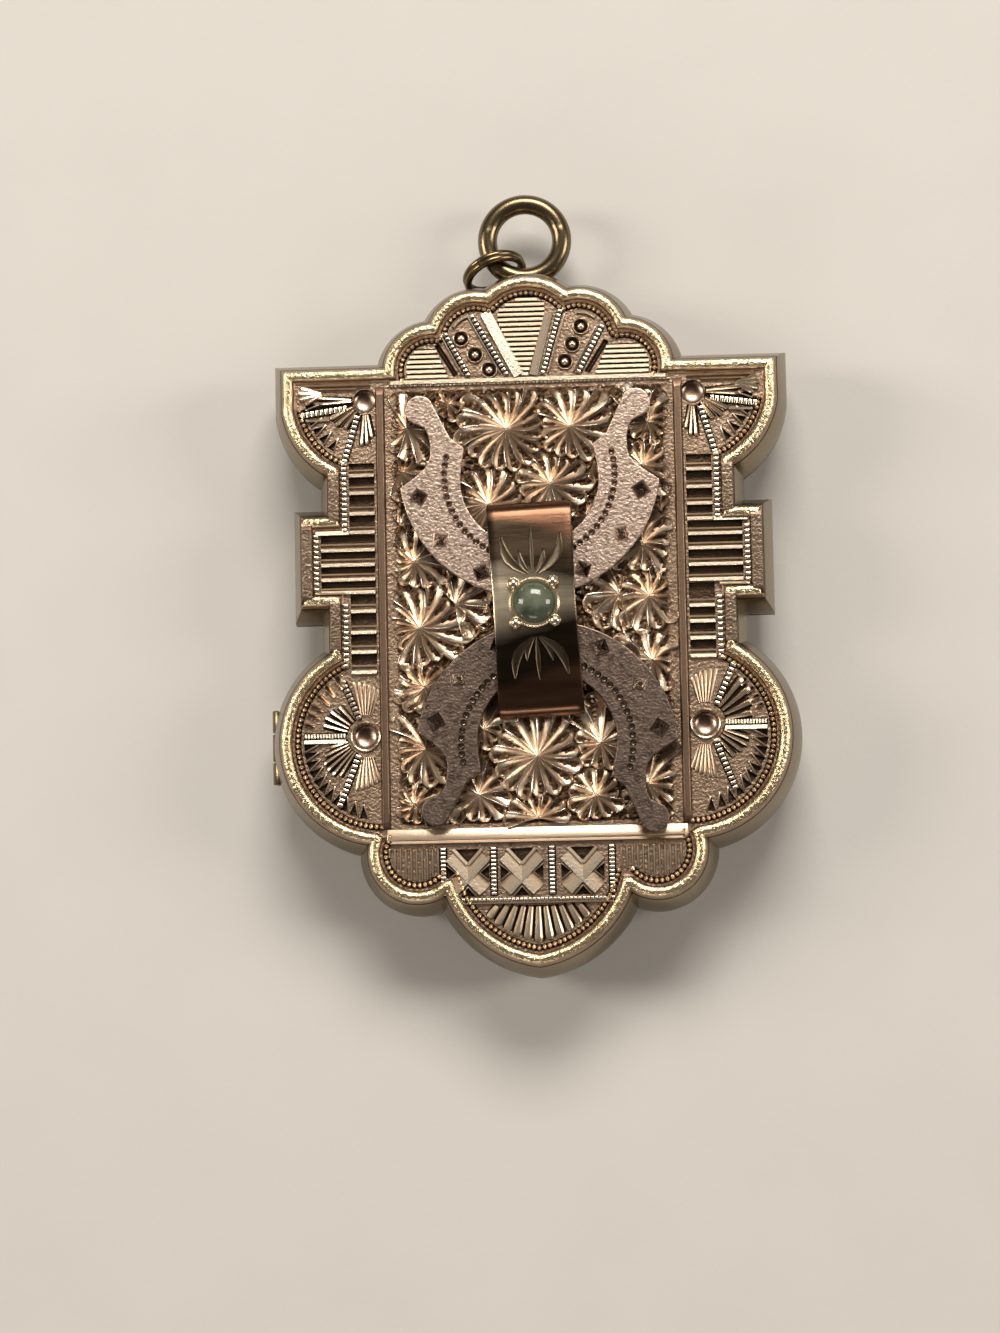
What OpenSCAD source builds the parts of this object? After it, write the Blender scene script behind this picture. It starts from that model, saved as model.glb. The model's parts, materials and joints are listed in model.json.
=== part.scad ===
// Horseshoe locket: a hinged case with a scalloped shield outline, an engraved front with two
// applied horseshoes under an arched strap that carries a cabochon, a bail ring and a jump ring.
// It lies on its back: +Z out of the front, +Y towards the bail ring, origin at the middle of
// the flat back.

/* [Case] */
// Height of the back cover, from the flat back to the parting plane
back_h = 2.8; // [2.4:0.1:3.2]
// Height of the front cover, from the parting plane to the top of its rim
front_h = 2.9; // [2.6:0.1:3.2]
// Gap between the two covers when the case is shut
parting_gap = 0.05; // [0.03:0.01:0.1]
// How far the walls flare out below the rim, at the parting plane
flare = 0.8; // [0.6:0.05:0.9]
// Thickness of the front plate
plate_t = 0.5; // [0.4:0.05:0.6]
// Depth of the front plate below the top of the rim
plate_drop = 0.35; // [0.3:0.01:0.4]
// Height of the closing lip above the parting plane
lip_h = 0.5; // [0.3:0.05:0.6]

/* [Outline] */
// Half width of the three parts of the side wall: the top lobes, the steps and the tabs
lobe_half_w = 12.35; // [12.3:0.01:12.39]
step_half_w = 10.05; // [9.9:0.05:10.2]
tab_half_w = 11.45; // [11.2:0.05:11.7]
// Height of the straight top edge, and the lower and upper edges of the tabs
top_edge_y = 12.05; // [11.9:0.05:12.2]
tab_low_y = 0.25; // [0.1:0.05:0.4]
tab_high_y = 4.5; // [4.3:0.05:4.7]

/* [Relief] */
// Height of the raised work on the front plate
relief_h = 0.22; // [0.15:0.01:0.25]
// Half width and half height of the flowered panel
panel_half_w = 7.25; // [7.1:0.05:7.3]
panel_half_h = 11.2; // [11:0.05:11.3]
// Width of the smooth strips beside the panel
strip_w = 0.38; // [0.3:0.01:0.45]
// Height of the polished bar below the panel
bar_h = 0.7; // [0.5:0.05:0.8]
// Width of a ladder rung
rung_w = 0.3; // [0.2:0.01:0.35]

/* [Hinge] */
// Distance of the hinge axis from the middle of the case
hinge_x = 13.15; // [13.1:0.01:13.2]
// Place of the middle of the hinge along the case
hinge_y = -6.8; // [-6.9:0.05:-6.7]
// Radius of the knuckles
knuckle_r = 0.4; // [0.38:0.01:0.42]
// Radius of the hinge pin, and the clearance round it
pin_r = 0.2; // [0.18:0.01:0.22]
pin_clear = 0.03; // [0.02:0.005:0.04]
// Length of the hinge, and of its middle knuckle
hinge_l = 3.8; // [3.6:0.1:4]
middle_l = 1.4; // [1.2:0.1:1.6]
// Gap between neighbouring knuckles, and round a knuckle in the other cover's pocket
knuckle_gap = 0.06; // [0.05:0.01:0.08]

/* [Rings] */
// Radius of the bail ring to the middle of its wire, and the radius of the wire
bail_r = 1.93; // [1.9:0.01:2]
bail_wire_r = 0.5; // [0.45:0.01:0.5]
// Place of the middle of the bail ring, across and along the case
bail_x = -0.15; // [-0.3:0.05:0.3]
bail_y = 19.35; // [19.2:0.05:19.5]
// Radius of the jump ring to the middle of its wire, and the radius of the wire
jump_r = 1.5; // [1.48:0.01:1.52]
jump_wire_r = 0.33; // [0.3:0.01:0.34]
// How far the jump ring leans from lying flat, and which way it faces
jump_lean = 69.6; // [69:0.1:70]
jump_turn = -69.4; // [-70:0.1:-69]
// How far the jump ring's middle lies from the middle of the bail ring, and its height
jump_from_bail = [-1.62, -1.57];
jump_z = 1.75; // [1.74:0.01:1.76]

/* [Horseshoes] */
// Outer and inner radius of a horseshoe, and how far the inner circle lies below the outer one
shoe_r = 6.6; // [6.5:0.05:6.7]
shoe_inner_r = 3.5; // [3.4:0.05:3.6]
shoe_inner_drop = 0.5; // [0.4:0.05:0.6]
// Thickness of a horseshoe
shoe_t = 0.5; // [0.4:0.05:0.6]
// Radius of the round end of each branch
heel_r = 0.75; // [0.7:0.01:0.78]
// Middles of the two horseshoes, and how far each is turned
upper_shoe_y = 6.85; // [6.8:0.05:6.9]
lower_shoe_x = 0.6; // [0.4:0.05:0.6]
lower_shoe_y = -7.55; // [-7.6:0.05:-7.5]
upper_shoe_turn = 0.5; // [0:0.1:1]
lower_shoe_turn = -2.8; // [-3:0.1:-2.6]
// Gap under each applied piece
seat_gap = 0.03; // [0.02:0.01:0.04]

/* [Strap and stone] */
// Width of the strap
strap_w = 4.2; // [4.1:0.05:4.3]
// Half length of the strap
strap_half_l = 5.45; // [5.4:0.05:5.5]
// Height of the strap's crown above the front plate
strap_crown = 1.75; // [1.7:0.05:1.9]
// Thickness of the strap
strap_t = 0.42; // [0.4:0.01:0.45]
// How far the strap leans from the case's own axis
strap_turn = 2.5; // [2:0.1:3]
// Radius of the stone, and its height above its seat
stone_r = 1.04; // [1:0.01:1.06]
stone_h = 0.75; // [0.7:0.05:0.8]
// Radius of the four grains that hold the stone
grain_r = 0.24; // [0.2:0.01:0.25]

/* [Hidden] */
$fn = 48;

front_z = back_h + parting_gap;
plate_z = front_z + front_h - plate_drop;
seat_z = plate_z + relief_h + seat_gap;
hinge_z = back_h + parting_gap / 2;
bail_z = back_h - bail_wire_r - parting_gap;

// Kinds of edge in the outline: an arc, an upright edge and a level edge
ARC = 0;
UPRIGHT = 1;
LEVEL = 2;

// The right half of the outline, from the top of the case down to its tip.
// Columns: kind, middle x or place, middle y or place, radius or outward side, points,
// and the rough place where the edge ends.
EDGES = [
    [ARC, 0, 13.65, 2.95, 5, [1.9, 15.85]],
    [ARC, 2.62, 13.55, 2.35, 5, [4.85, 14.3]],
    [ARC, 4.9, 12.05, 2.25, 5, [7.15, 12.05]],
    [LEVEL, 0, top_edge_y, 1, 1, [lobe_half_w, top_edge_y]],
    [UPRIGHT, lobe_half_w, 0, 1, 1, [lobe_half_w, 10.1]],
    [ARC, 8, 10.8, 4.4, 7, [step_half_w, 6.9]],
    [UPRIGHT, step_half_w, 0, 1, 1, [step_half_w, tab_high_y]],
    [LEVEL, 0, tab_high_y, 1, 1, [tab_half_w, tab_high_y]],
    [UPRIGHT, tab_half_w, 0, 1, 1, [tab_half_w, tab_low_y]],
    [LEVEL, 0, tab_low_y, -1, 1, [step_half_w, tab_low_y]],
    [UPRIGHT, step_half_w, 0, 1, 1, [step_half_w, -2.4]],
    [ARC, 7.65, -6.8, 5, 12, [8.19, -11.78]],
    [ARC, 6, -12.45, 2.3, 7, [4.55, -14.25]],
    [ARC, -0.83, -12.35, 5.7, 7, [0, -18]]
];

// Sections of the walls: how far each corner lies outside the rim, and its height.
// Columns: growth, height above the cover's foot.
FRONT_WALL = [
    [flare, 0], [flare, 0.3], [flare - 0.13, 1.1], [0.42, 1.9], [0.24, 2.45],
    [0.12, front_h - 0.12], [-0.06, front_h], [-0.28, front_h], [-0.42, front_h - 0.12],
    [-0.5, front_h - plate_drop - 0.2], [flare - 0.7, 0]
];
BACK_WALL = [
    [-0.35, 0.12], [0.15, 0.5], [flare - 0.25, 1.3], [flare, back_h - 0.35], [flare, back_h],
    [flare - 0.7, back_h], [-0.6, 0.35]
];

// Middles and sizes of the flowers on the panel. Columns: x, y, radius, petals.
FLOWERS = [
    [-1.1, 9, 2, 14], [2, 9.1, 2.1, 14], [-5.8, 9.1, 1.6, 12], [5.3, 9.9, 1.9, 12],
    [-6, 6.7, 1.4, 10], [5.7, 6.9, 1.7, 12], [1.05, 6.1, 1.7, 12], [-2.1, 5.1, 1.6, 12],
    [-6.6, 4.6, 1, 8], [6.6, 4.9, 1, 8], [-5.9, 2.1, 1.6, 12], [5.5, 3.1, 1.7, 12],
    [-5.8, -1.3, 1.9, 14], [5.8, 0.35, 1.6, 12], [4.3, 0.1, 1.1, 8], [-5.4, -4.3, 1.8, 12],
    [5.9, -3.2, 1.4, 10], [-5.6, -7.4, 1.8, 12], [-2.6, -6.5, 1.5, 10], [0.05, -8, 2, 14],
    [3.3, -7.1, 1.6, 12], [3.1, -9.6, 1.6, 12], [0.1, -10.7, 1.7, 12], [-2.9, -9.4, 1.6, 12],
    [-6, -9.8, 1.4, 10], [5.5, -9.2, 1.8, 12]
];

// Heights of the ladder rungs: those on the steps, and the longer ones on the tabs
STEP_RUNGS = [6.7, 5.75, 4.85, 3.95, -0.22, -1.18, -2.1, -3.05];
TAB_RUNGS = [3.15, 2.35, 1.55, 0.75];

function near(points, seed) =
    norm(points[0] - seed) <= norm(points[1] - seed) ? points[0] : points[1];

function arc_meets_arc(a, b, ra, rb, seed) =
    let (
        d = norm(b - a),
        along = (ra * ra - rb * rb + d * d) / (2 * d),
        off = sqrt(ra * ra - along * along),
        unit = (b - a) / d,
        side = [-unit[1], unit[0]]
    )
    near([a + along * unit + off * side, a + along * unit - off * side], seed);

// Where two arcs meet once both have grown. Shrunk arcs may part, so there the point steps
// straight in from the cusp of the rim.
function cusp(a, b, grow, seed) =
    let (
        ca = [a[1], a[2]],
        cb = [b[1], b[2]],
        swell = max(grow, 0),
        meet = arc_meets_arc(ca, cb, a[3] + swell, b[3] + swell, seed),
        out = (meet - ca) / norm(meet - ca) + (meet - cb) / norm(meet - cb)
    )
    meet + min(grow, 0) * out / norm(out);

function arc_meets_upright(c, r, x, seed) =
    let (off = sqrt(r * r - (x - c[0]) * (x - c[0])))
    near([[x, c[1] + off], [x, c[1] - off]], seed);

function arc_meets_level(c, r, y, seed) =
    let (off = sqrt(r * r - (y - c[1]) * (y - c[1])))
    near([[c[0] + off, y], [c[0] - off, y]], seed);

function middle(edge) = [edge[1], edge[2]];

// The point where one edge of the outline ends and the next begins, both grown outwards
function corner(a, b, grow, seed) =
    a[0] == ARC && b[0] == ARC
        ? cusp(a, b, grow, seed)
    : a[0] == ARC && b[0] == UPRIGHT
        ? arc_meets_upright(middle(a), a[3] + grow, b[1] + grow, seed)
    : a[0] == UPRIGHT && b[0] == ARC
        ? arc_meets_upright(middle(b), b[3] + grow, a[1] + grow, seed)
    : a[0] == ARC && b[0] == LEVEL
        ? arc_meets_level(middle(a), a[3] + grow, b[2] + grow * b[3], seed)
    : a[0] == UPRIGHT
        ? [a[1] + grow, b[2] + grow * b[3]]
    : [b[1] + grow, a[2] + grow * a[3]];

function start_of(i, grow) =
    i == 0
        ? [0, EDGES[0][2] + EDGES[0][3] + grow]
        : corner(EDGES[i - 1], EDGES[i], grow, EDGES[i - 1][5]);

function end_of(i, grow) =
    i == len(EDGES) - 1
        ? arc_meets_upright(middle(EDGES[i]), EDGES[i][3] + grow, 0, EDGES[i][5])
        : start_of(i + 1, grow);

function bearing(c, p) = atan2(p[1] - c[1], p[0] - c[0]);

// The points of one edge, without its last one
function edge_points(i, grow) =
    let (
        edge = EDGES[i],
        first = start_of(i, grow),
        last = end_of(i, grow),
        c = middle(edge),
        from = bearing(c, first),
        to = bearing(c, last),
        n = edge[4]
    )
    edge[0] == ARC
        ? [for (k = [0 : n - 1])
            let (angle = from + (to - from) * k / n)
            c + (edge[3] + grow) * [cos(angle), sin(angle)]]
        : [first];

function half_outline(grow) = [for (i = [0 : len(EDGES) - 1]) each edge_points(i, grow)];

// The whole outline, grown outwards by a distance, clockwise from the top
function outline(grow) =
    let (
        right = half_outline(grow),
        tip = end_of(len(EDGES) - 1, grow)
    )
    concat(right, [tip], [for (k = [len(right) - 1 : -1 : 1]) [-right[k][0], right[k][1]]]);

// A wall that follows the outline: each corner of its section is a growth and a height
module outline_wall(section) {
    rings = [for (s = section) outline(s[0])];
    n = len(rings[0]);
    count = len(section);
    points = [for (k = [0 : count - 1]) for (p = rings[k]) [p[0], p[1], section[k][1]]];
    faces = [for (k = [0 : count - 1]) for (j = [0 : n - 1])
        let (up = (k + 1) % count, on = (j + 1) % n)
        each [
            [k * n + j, k * n + on, up * n + j],
            [k * n + on, up * n + on, up * n + j]
        ]];
    polyhedron(points, faces, convexity = 8);
}

module outline_slab(grow, h) {
    linear_extrude(h) polygon(outline(grow));
}

module ring(r, wire_r) {
    rotate_extrude() translate([r, 0]) circle(wire_r);
}

// A run of the hinge: a cylinder along Y about the hinge axis
module hinge_run(r, l, y) {
    translate([-hinge_x, hinge_y + y, hinge_z])
        rotate([90, 0, 0])
            cylinder(r = r, h = l, center = true);
}

end_l = (hinge_l - middle_l) / 2 - knuckle_gap;
end_y = (hinge_l - end_l) / 2;

module end_runs(r, l) {
    for (side = [-1, 1]) hinge_run(r, l, side * end_y);
}

// The flat filed in both walls for the hinge, so that they clear each other when the case opens
module hinge_seat() {
    seat_h = 1.9;
    into_wall = 0.05;
    translate([-hinge_x - 1, hinge_y - hinge_l / 2 - knuckle_gap, hinge_z - seat_h / 2])
        cube([1 + into_wall, hinge_l + 2 * knuckle_gap, seat_h]);
}

module back_cover() {
    color("#8d7a52") difference() {
        union() {
            difference() {
                union() {
                    outline_wall(BACK_WALL);
                    outline_slab(-0.5, 0.5);
                    closing_lip();
                }
                hinge_run(knuckle_r + knuckle_gap, middle_l + 2 * knuckle_gap, 0);
                hinge_seat();
            }
            end_runs(knuckle_r, end_l);
            translate([bail_x, bail_y, bail_z]) ring(bail_r, bail_wire_r);
        }
        hinge_run(pin_r + pin_clear, hinge_l + 1, 0);
    }
}

// The lip stands inside the front cover's wall when the case is shut
module closing_lip() {
    foot = 0.9;
    translate([0, 0, back_h - foot]) linear_extrude(foot) difference() {
        polygon(outline(0.05));
        polygon(outline(-0.75));
    }
    translate([0, 0, back_h - 0.1]) linear_extrude(lip_h + 0.1) difference() {
        polygon(outline(-0.33));
        polygon(outline(-0.75));
    }
}

module front_cover() {
    color("#b8966a") difference() {
        union() {
            difference() {
                union() {
                    translate([0, 0, front_z]) outline_wall(FRONT_WALL);
                    translate([0, 0, plate_z - plate_t]) outline_slab(-0.25, plate_t);
                }
                end_runs(knuckle_r + knuckle_gap, end_l + 2 * knuckle_gap);
                hinge_seat();
            }
            hinge_run(knuckle_r, middle_l, 0);
            translate([0, 0, plate_z - 0.1]) linear_extrude(relief_h + 0.1) face_relief();
        }
        hinge_run(pin_r + pin_clear, hinge_l + 1, 0);
    }
}

module hinge_pin() {
    color("#6d6048") hinge_run(pin_r, hinge_l - 0.1, 0);
}

module face_relief() {
    panel_frame();
    ladders();
    panel_flowers();
    lobe_fans();
    crest();
    base_row();
    pendant_fan();
}

module panel_frame() {
    frame_x = panel_half_w + 0.2;
    for (side = [-1, 1])
        translate([side * frame_x, 0])
            square([strip_w, 2 * panel_half_h], center = true);
    translate([0, panel_half_h + 0.1]) square([2 * frame_x, 0.25], center = true);
    translate([0, -panel_half_h - bar_h / 2]) square([2 * frame_x, bar_h], center = true);
}

module rung(from, to, y) {
    translate([from, y - rung_w / 2]) square([to - from, rung_w]);
}

module ladders() {
    for (side = [0, 1]) mirror([side, 0]) {
        for (y = STEP_RUNGS) rung(7.8, 9.2, y);
        for (y = TAB_RUNGS) rung(7.8, 10.7, y);
    }
}

// A star of petals, or a part of one between two angles
function petals(r, inner_r, count, from, sweep) =
    [for (k = [0 : 2 * count])
        let (angle = from + sweep * k / (2 * count), reach = k % 2 == 0 ? inner_r : r)
        reach * [cos(angle), sin(angle)]];

module flower(r, count) {
    polygon(petals(r, r * 0.45, count, 0, 360 - 180 / count));
}

module fan(r, inner_r, count, from, sweep) {
    polygon(concat([[0, 0]], petals(r, inner_r, count, from, sweep)));
}

module panel_flowers() {
    inset = 0.1;
    intersection() {
        union() for (f = FLOWERS) translate([f[0], f[1]]) flower(f[2], f[3]);
        square(2 * [panel_half_w - inset, panel_half_h - inset], center = true);
    }
}

module lobe_fans() {
    for (side = [0, 1]) mirror([side, 0]) {
        translate([8.3, 10.5]) fan(3.3, 1.3, 9, -95, 95);
        translate([8.5, -6.4]) fan(3.3, 1.2, 15, -110, 235);
    }
}

// The five scallops above the panel, with level hatching between smooth bars
module crest() {
    foot_y = panel_half_h + 0.4;
    for (side = [0, 1]) mirror([side, 0]) {
        polygon([[0.15, foot_y], [1.9, 15], [2.4, 14.8], [0.65, foot_y]]);
        for (d = [[1.9, 12.15], [2.5, 13], [3.05, 13.9]]) translate(d) circle(0.36);
        polygon([[3.15, foot_y], [4.35, 13.5], [4.65, 13.3], [3.5, foot_y]]);
        for (k = [0 : 3])
            translate([3.95 + 0.3 * k, foot_y + 0.5 * k]) square([2.6 - 0.5 * k, 0.22]);
    }
    for (k = [0 : 7])
        translate([-0.15 - 0.2 * k, 12.2 + 0.45 * k])
            square([0.3 + 0.4 * k, 0.22]);
}

// The row of stripes and crosses below the bar
module base_row() {
    for (x = [-7.4 : 0.42 : -4.9], y = [-14]) translate([x, y]) square([0.2, 1.7]);
    for (x = [4.2 : 0.42 : 7.4], y = [-14]) translate([x, y]) square([0.2, 1.7]);
    for (x = [-3.6, -0.75, 2.3]) translate([x, -13.5])
        for (turn = [-45, 45]) rotate(turn) square([0.62, 2.5], center = true);
}

module pendant_fan() {
    intersection() {
        translate([0, -12.5]) fan(5, 2, 13, -145, 110);
        translate([-5, -18]) square([10, 2.9]);
        polygon(outline(-0.85));
    }
}

// One horseshoe, opening towards +Y, with its middle at the middle of its outer circle
module horseshoe() {
    difference() {
        linear_extrude(shoe_t) shoe_shape();
        for (side = [0, 1]) mirror([side, 0, 0])
            for (hole = [[5.6, -1.35], [4.55, -3.55], [2.52, -5.28]])
                translate([hole[0], hole[1], shoe_t - 0.34])
                    rotate(atan2(hole[1], hole[0]) + 45)
                        cylinder(h = 0.36, r1 = 0.05, r2 = 0.55, $fn = 4);
        translate([0, 0, shoe_t - 0.14]) linear_extrude(0.2) shoe_groove();
    }
}

module shoe_shape() {
    cut_y = -0.82;
    difference() {
        circle(shoe_r);
        translate([0, -shoe_inner_drop]) circle(shoe_inner_r);
        translate([-shoe_r - 1, cut_y]) square([2 * shoe_r + 2, shoe_r + 2]);
    }
    for (side = [0, 1]) mirror([side, 0]) {
        polygon([
            [6.5, cut_y], [5.35, 0.02], [4.95, 0.65], [5.03, 1.9], [5.95, 2.55], [4.95, 3.68],
            [3.95, 1.65], [3.25, 1.1], [3.45, 0], [3.52, -1.1], [6, -1.1]
        ]);
        translate([5.45, 3.1]) circle(heel_r);
    }
}

module shoe_groove() {
    groove_r = 4.3;
    groove_w = 0.3;
    difference() {
        translate([0, -0.4]) circle(groove_r + groove_w / 2);
        translate([0, -0.4]) circle(groove_r - groove_w / 2);
        translate([-6, 1.35]) square([12, 6]);
    }
}

module upper_horseshoe() {
    color("#b08a78") translate([0, upper_shoe_y, seat_z]) rotate(upper_shoe_turn) horseshoe();
}

module lower_horseshoe() {
    color("#5f4f4a") translate([lower_shoe_x, lower_shoe_y, seat_z])
        rotate(180 + lower_shoe_turn) horseshoe();
}

// Height of the strap's crown above its own seat
strap_rise = strap_crown - relief_h - seat_gap;

// Side of the strap from its foot to its crown, along half its length.
// Columns: distance from the crown, height above the strap's seat.
function strap_side(half_l, rise) = [
    [half_l, 0], [half_l, 0.3 * rise], [half_l - 0.35, 0.58 * rise],
    [half_l - 1.25, 0.7 * rise], [0.45 * half_l, 0.88 * rise], [0.2 * half_l, 0.98 * rise]
];

function across(points, turn) = [for (p = points) [turn * p[0], p[1]]];

function backwards(points) = [for (k = [len(points) - 1 : -1 : 0]) points[k]];

module strap_profile() {
    over = strap_side(strap_half_l, strap_rise);
    under = strap_side(strap_half_l - strap_t, strap_rise - strap_t);
    polygon(concat(
        over, backwards(across(over, -1)), across(under, -1), backwards(under)
    ));
}

module place_on_strap() {
    translate([0.18, -0.37, seat_z]) rotate(strap_turn) children();
}

stone_seat_z = strap_rise - 0.2;
stone_y = 0.22;

module strap() {
    color("#9a6f3c") place_on_strap() difference() {
        union() {
            translate([-strap_w / 2, 0, 0])
                rotate([90, 0, 90])
                    linear_extrude(strap_w) strap_profile();
            for (x = [-1, 1], y = [-1, 1])
                translate([0.98 * x, stone_y + 0.98 * y, stone_seat_z + 0.25]) sphere(grain_r);
        }
        translate([0, stone_y, stone_seat_z - 0.02]) cylinder(r = stone_r + seat_gap, h = 2);
    }
}

module stone() {
    dome_r = (stone_r * stone_r + (stone_h - 0.2) * (stone_h - 0.2)) / (2 * (stone_h - 0.2));
    color("#6f8a6c") place_on_strap() translate([0, stone_y, stone_seat_z]) intersection() {
        cylinder(r = stone_r, h = stone_h);
        translate([0, 0, stone_h - dome_r]) sphere(dome_r);
    }
}

module jump_ring() {
    color("#5d4a38") translate([bail_x + jump_from_bail[0], bail_y + jump_from_bail[1], jump_z])
        rotate([0, jump_lean, jump_turn])
            ring(jump_r, jump_wire_r);
}

back_cover();
front_cover();
hinge_pin();
upper_horseshoe();
lower_horseshoe();
strap();
stone();
jump_ring();
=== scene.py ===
"""Hinged horseshoe locket: the finished pieces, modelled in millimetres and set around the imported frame."""
import json
import logging
import math
from collections.abc import Callable, Iterator, Sequence
from contextlib import contextmanager
from dataclasses import dataclass, field
from enum import Enum

import bmesh
import bpy
import numpy as np
from mathutils import Matrix, Vector

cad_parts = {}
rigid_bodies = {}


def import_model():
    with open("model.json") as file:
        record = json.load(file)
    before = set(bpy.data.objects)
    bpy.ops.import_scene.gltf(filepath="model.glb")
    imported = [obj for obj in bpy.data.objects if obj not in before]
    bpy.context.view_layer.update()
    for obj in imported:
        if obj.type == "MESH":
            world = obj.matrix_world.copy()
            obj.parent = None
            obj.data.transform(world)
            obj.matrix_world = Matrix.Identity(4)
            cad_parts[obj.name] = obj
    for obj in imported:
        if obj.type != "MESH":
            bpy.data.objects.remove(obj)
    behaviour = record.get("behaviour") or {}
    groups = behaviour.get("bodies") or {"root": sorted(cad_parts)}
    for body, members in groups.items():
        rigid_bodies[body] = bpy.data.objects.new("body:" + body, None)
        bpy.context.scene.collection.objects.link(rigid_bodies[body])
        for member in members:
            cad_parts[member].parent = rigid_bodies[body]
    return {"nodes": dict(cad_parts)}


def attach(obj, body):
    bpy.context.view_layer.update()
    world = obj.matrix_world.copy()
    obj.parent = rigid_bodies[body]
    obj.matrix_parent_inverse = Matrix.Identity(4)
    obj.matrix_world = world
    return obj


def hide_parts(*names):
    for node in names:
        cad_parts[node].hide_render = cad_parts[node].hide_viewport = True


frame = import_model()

LOG = logging.getLogger("locket")
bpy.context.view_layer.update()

# One modelling unit is a millimetre until a piece is settled on its body
MM = 0.001

# Levels above the surface that the locket lies on
PLATE_Z = 5.40
PANEL_Z = 5.28
SEAT_Z = 5.65
PARTING_Z = 2.85
BACK_TOP_Z = 2.80
RIM_TOP_Z = 5.75

# The engraved panel and what frames it
PANEL_HALF_W = 7.25
PANEL_HALF_H = 11.2
STRIP_X = 7.55
STRIP_W = 0.5
STEP_X = 10.05
TAB_X = 11.45

Point = tuple[float, float]
Triple = tuple[float, float, float]
Colour = Triple
Piece = bpy.types.Object
Material = bpy.types.Material
Socket = bpy.types.NodeSocket
EditMesh = bmesh.types.BMesh

# Engraving along the rim ends this far inside the outline
RIM_INSET = 0.95
# Dark strips of painted shade lie this high over the plate, under raised work
SHADE_STRIP_H = 0.015
# Points closer than this are one point
MERGE_MM = 0.0005


class Body(Enum):
    """The two bodies that the hinge joins."""

    BACK = "back"
    FRONT = "front"


class Slot(Enum):
    """The record's material slots."""

    CASE = "case_metal"
    ENGRAVED = "engraved_metal"
    ROSE = "rose_metal"
    DARK = "dark_metal"
    STRAP = "strap_metal"
    CABOCHON = "cabochon"
    BRONZE = "bronze_metal"


class Side(Enum):
    """The two sides of the case, seen from the front."""

    LEFT = -1
    RIGHT = 1


def polar(hub: Point, angle: float, reach: float) -> Point:
    """Give the point that lies at a distance from a hub, in a direction in radians."""
    return (hub[0] + reach * math.cos(angle), hub[1] + reach * math.sin(angle))


def make_active(piece: Piece) -> None:
    """Select one piece alone and make it the active one.

    Args:
        piece: The object that the next operator works on.
    """
    for other in bpy.context.view_layer.objects:
        other.select_set(False)
    piece.select_set(True)
    bpy.context.view_layer.objects.active = piece


@contextmanager
def editing(piece: Piece, select: str = "DESELECT") -> Iterator[EditMesh]:
    """Open a piece in edit mode, and close it again.

    Args:
        piece: The mesh object to shape.
        select: Whether its parts start selected or deselected, in Blender's word.

    Yields:
        Its edit mesh, for selecting faces and points by place.
    """
    make_active(piece)
    bpy.ops.object.mode_set(mode="EDIT")
    bpy.ops.mesh.select_all(action=select)
    yield bmesh.from_edit_mesh(piece.data)
    bpy.ops.object.mode_set(mode="OBJECT")


def resize_faces(mesh: EditMesh, up: int, size: Triple) -> None:
    """Select only the faces that look straight up or down, and resize them.

    Args:
        mesh: The open edit mesh.
        up: 1 for the faces that look up, or -1 for those that look down.
        size: How much they grow along each axis.
    """
    bpy.ops.mesh.select_mode(type="FACE")
    for face in mesh.faces:
        face.select_set(up * face.normal.z > 0.9)
    bpy.ops.transform.resize(value=size)


def halve(piece: Piece, place: Triple, normal: Triple) -> None:
    """Cut a piece with a plane, keep the side that the normal points to and close it."""
    with editing(piece, "SELECT"):
        bpy.ops.mesh.bisect(plane_co=place, plane_no=normal, use_fill=True, clear_inner=True)


def bake_place(piece: Piece) -> None:
    """Move a piece's place and size into its mesh, so that its object sits at the origin."""
    make_active(piece)
    bpy.ops.object.transform_apply(location=True, rotation=True, scale=True)


def baked() -> Piece:
    """Give the object that was added last, with its place and size baked into its mesh."""
    piece = bpy.context.active_object
    bake_place(piece)
    return piece


def apply_modifier(piece: Piece, kind: str, **settings: object) -> None:
    """Add one modifier to a piece and apply it.

    Args:
        piece: The object to change.
        kind: Blender's name of the modifier type.
        **settings: The modifier's own settings.
    """
    make_active(piece)
    modifier = piece.modifiers.new(kind.lower(), kind)
    for key, value in settings.items():
        setattr(modifier, key, value)
    bpy.ops.object.modifier_apply(modifier=modifier.name)


def carve(piece: Piece, tool: Piece, crossing: bool = False) -> None:
    """Cut a piece with another, which is used up.

    Args:
        piece: The piece that stays.
        tool: The closed shape that cuts it.
        crossing: Whether parts of the tool cross each other.
    """
    apply_modifier(
        piece, "BOOLEAN", object=tool, operation="DIFFERENCE", solver="EXACT", use_self=crossing
    )
    bpy.data.objects.remove(tool)


def face_outwards(piece: Piece, merge: bool = False) -> None:
    """Turn a closed piece's faces outwards.

    Args:
        piece: The piece.
        merge: Whether points that coincide are merged first.
    """
    with editing(piece, "SELECT"):
        if merge:
            bpy.ops.mesh.remove_doubles(threshold=MERGE_MM)
        bpy.ops.mesh.normals_make_consistent(inside=False)


def smooth(piece: Piece, degrees: float = 32.0) -> None:
    """Shade a piece smooth, but for edges sharper than the angle."""
    make_active(piece)
    bpy.ops.object.shade_smooth_by_angle(angle=math.radians(degrees))


def mesh_piece(name: str, points: np.ndarray, faces: Sequence[Sequence[int]]) -> Piece:
    """Make a mesh object from arrays.

    Args:
        name: The piece's name.
        points: One row of X, Y and Z for each vertex, in millimetres.
        faces: The vertex numbers of each face.

    Returns:
        The new object, linked to the scene.
    """
    mesh = bpy.data.meshes.new(name)
    mesh.from_pydata(points.tolist(), [], [list(face) for face in faces])
    mesh.update()
    piece = bpy.data.objects.new(name, mesh)
    bpy.context.scene.collection.objects.link(piece)
    return piece


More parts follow.
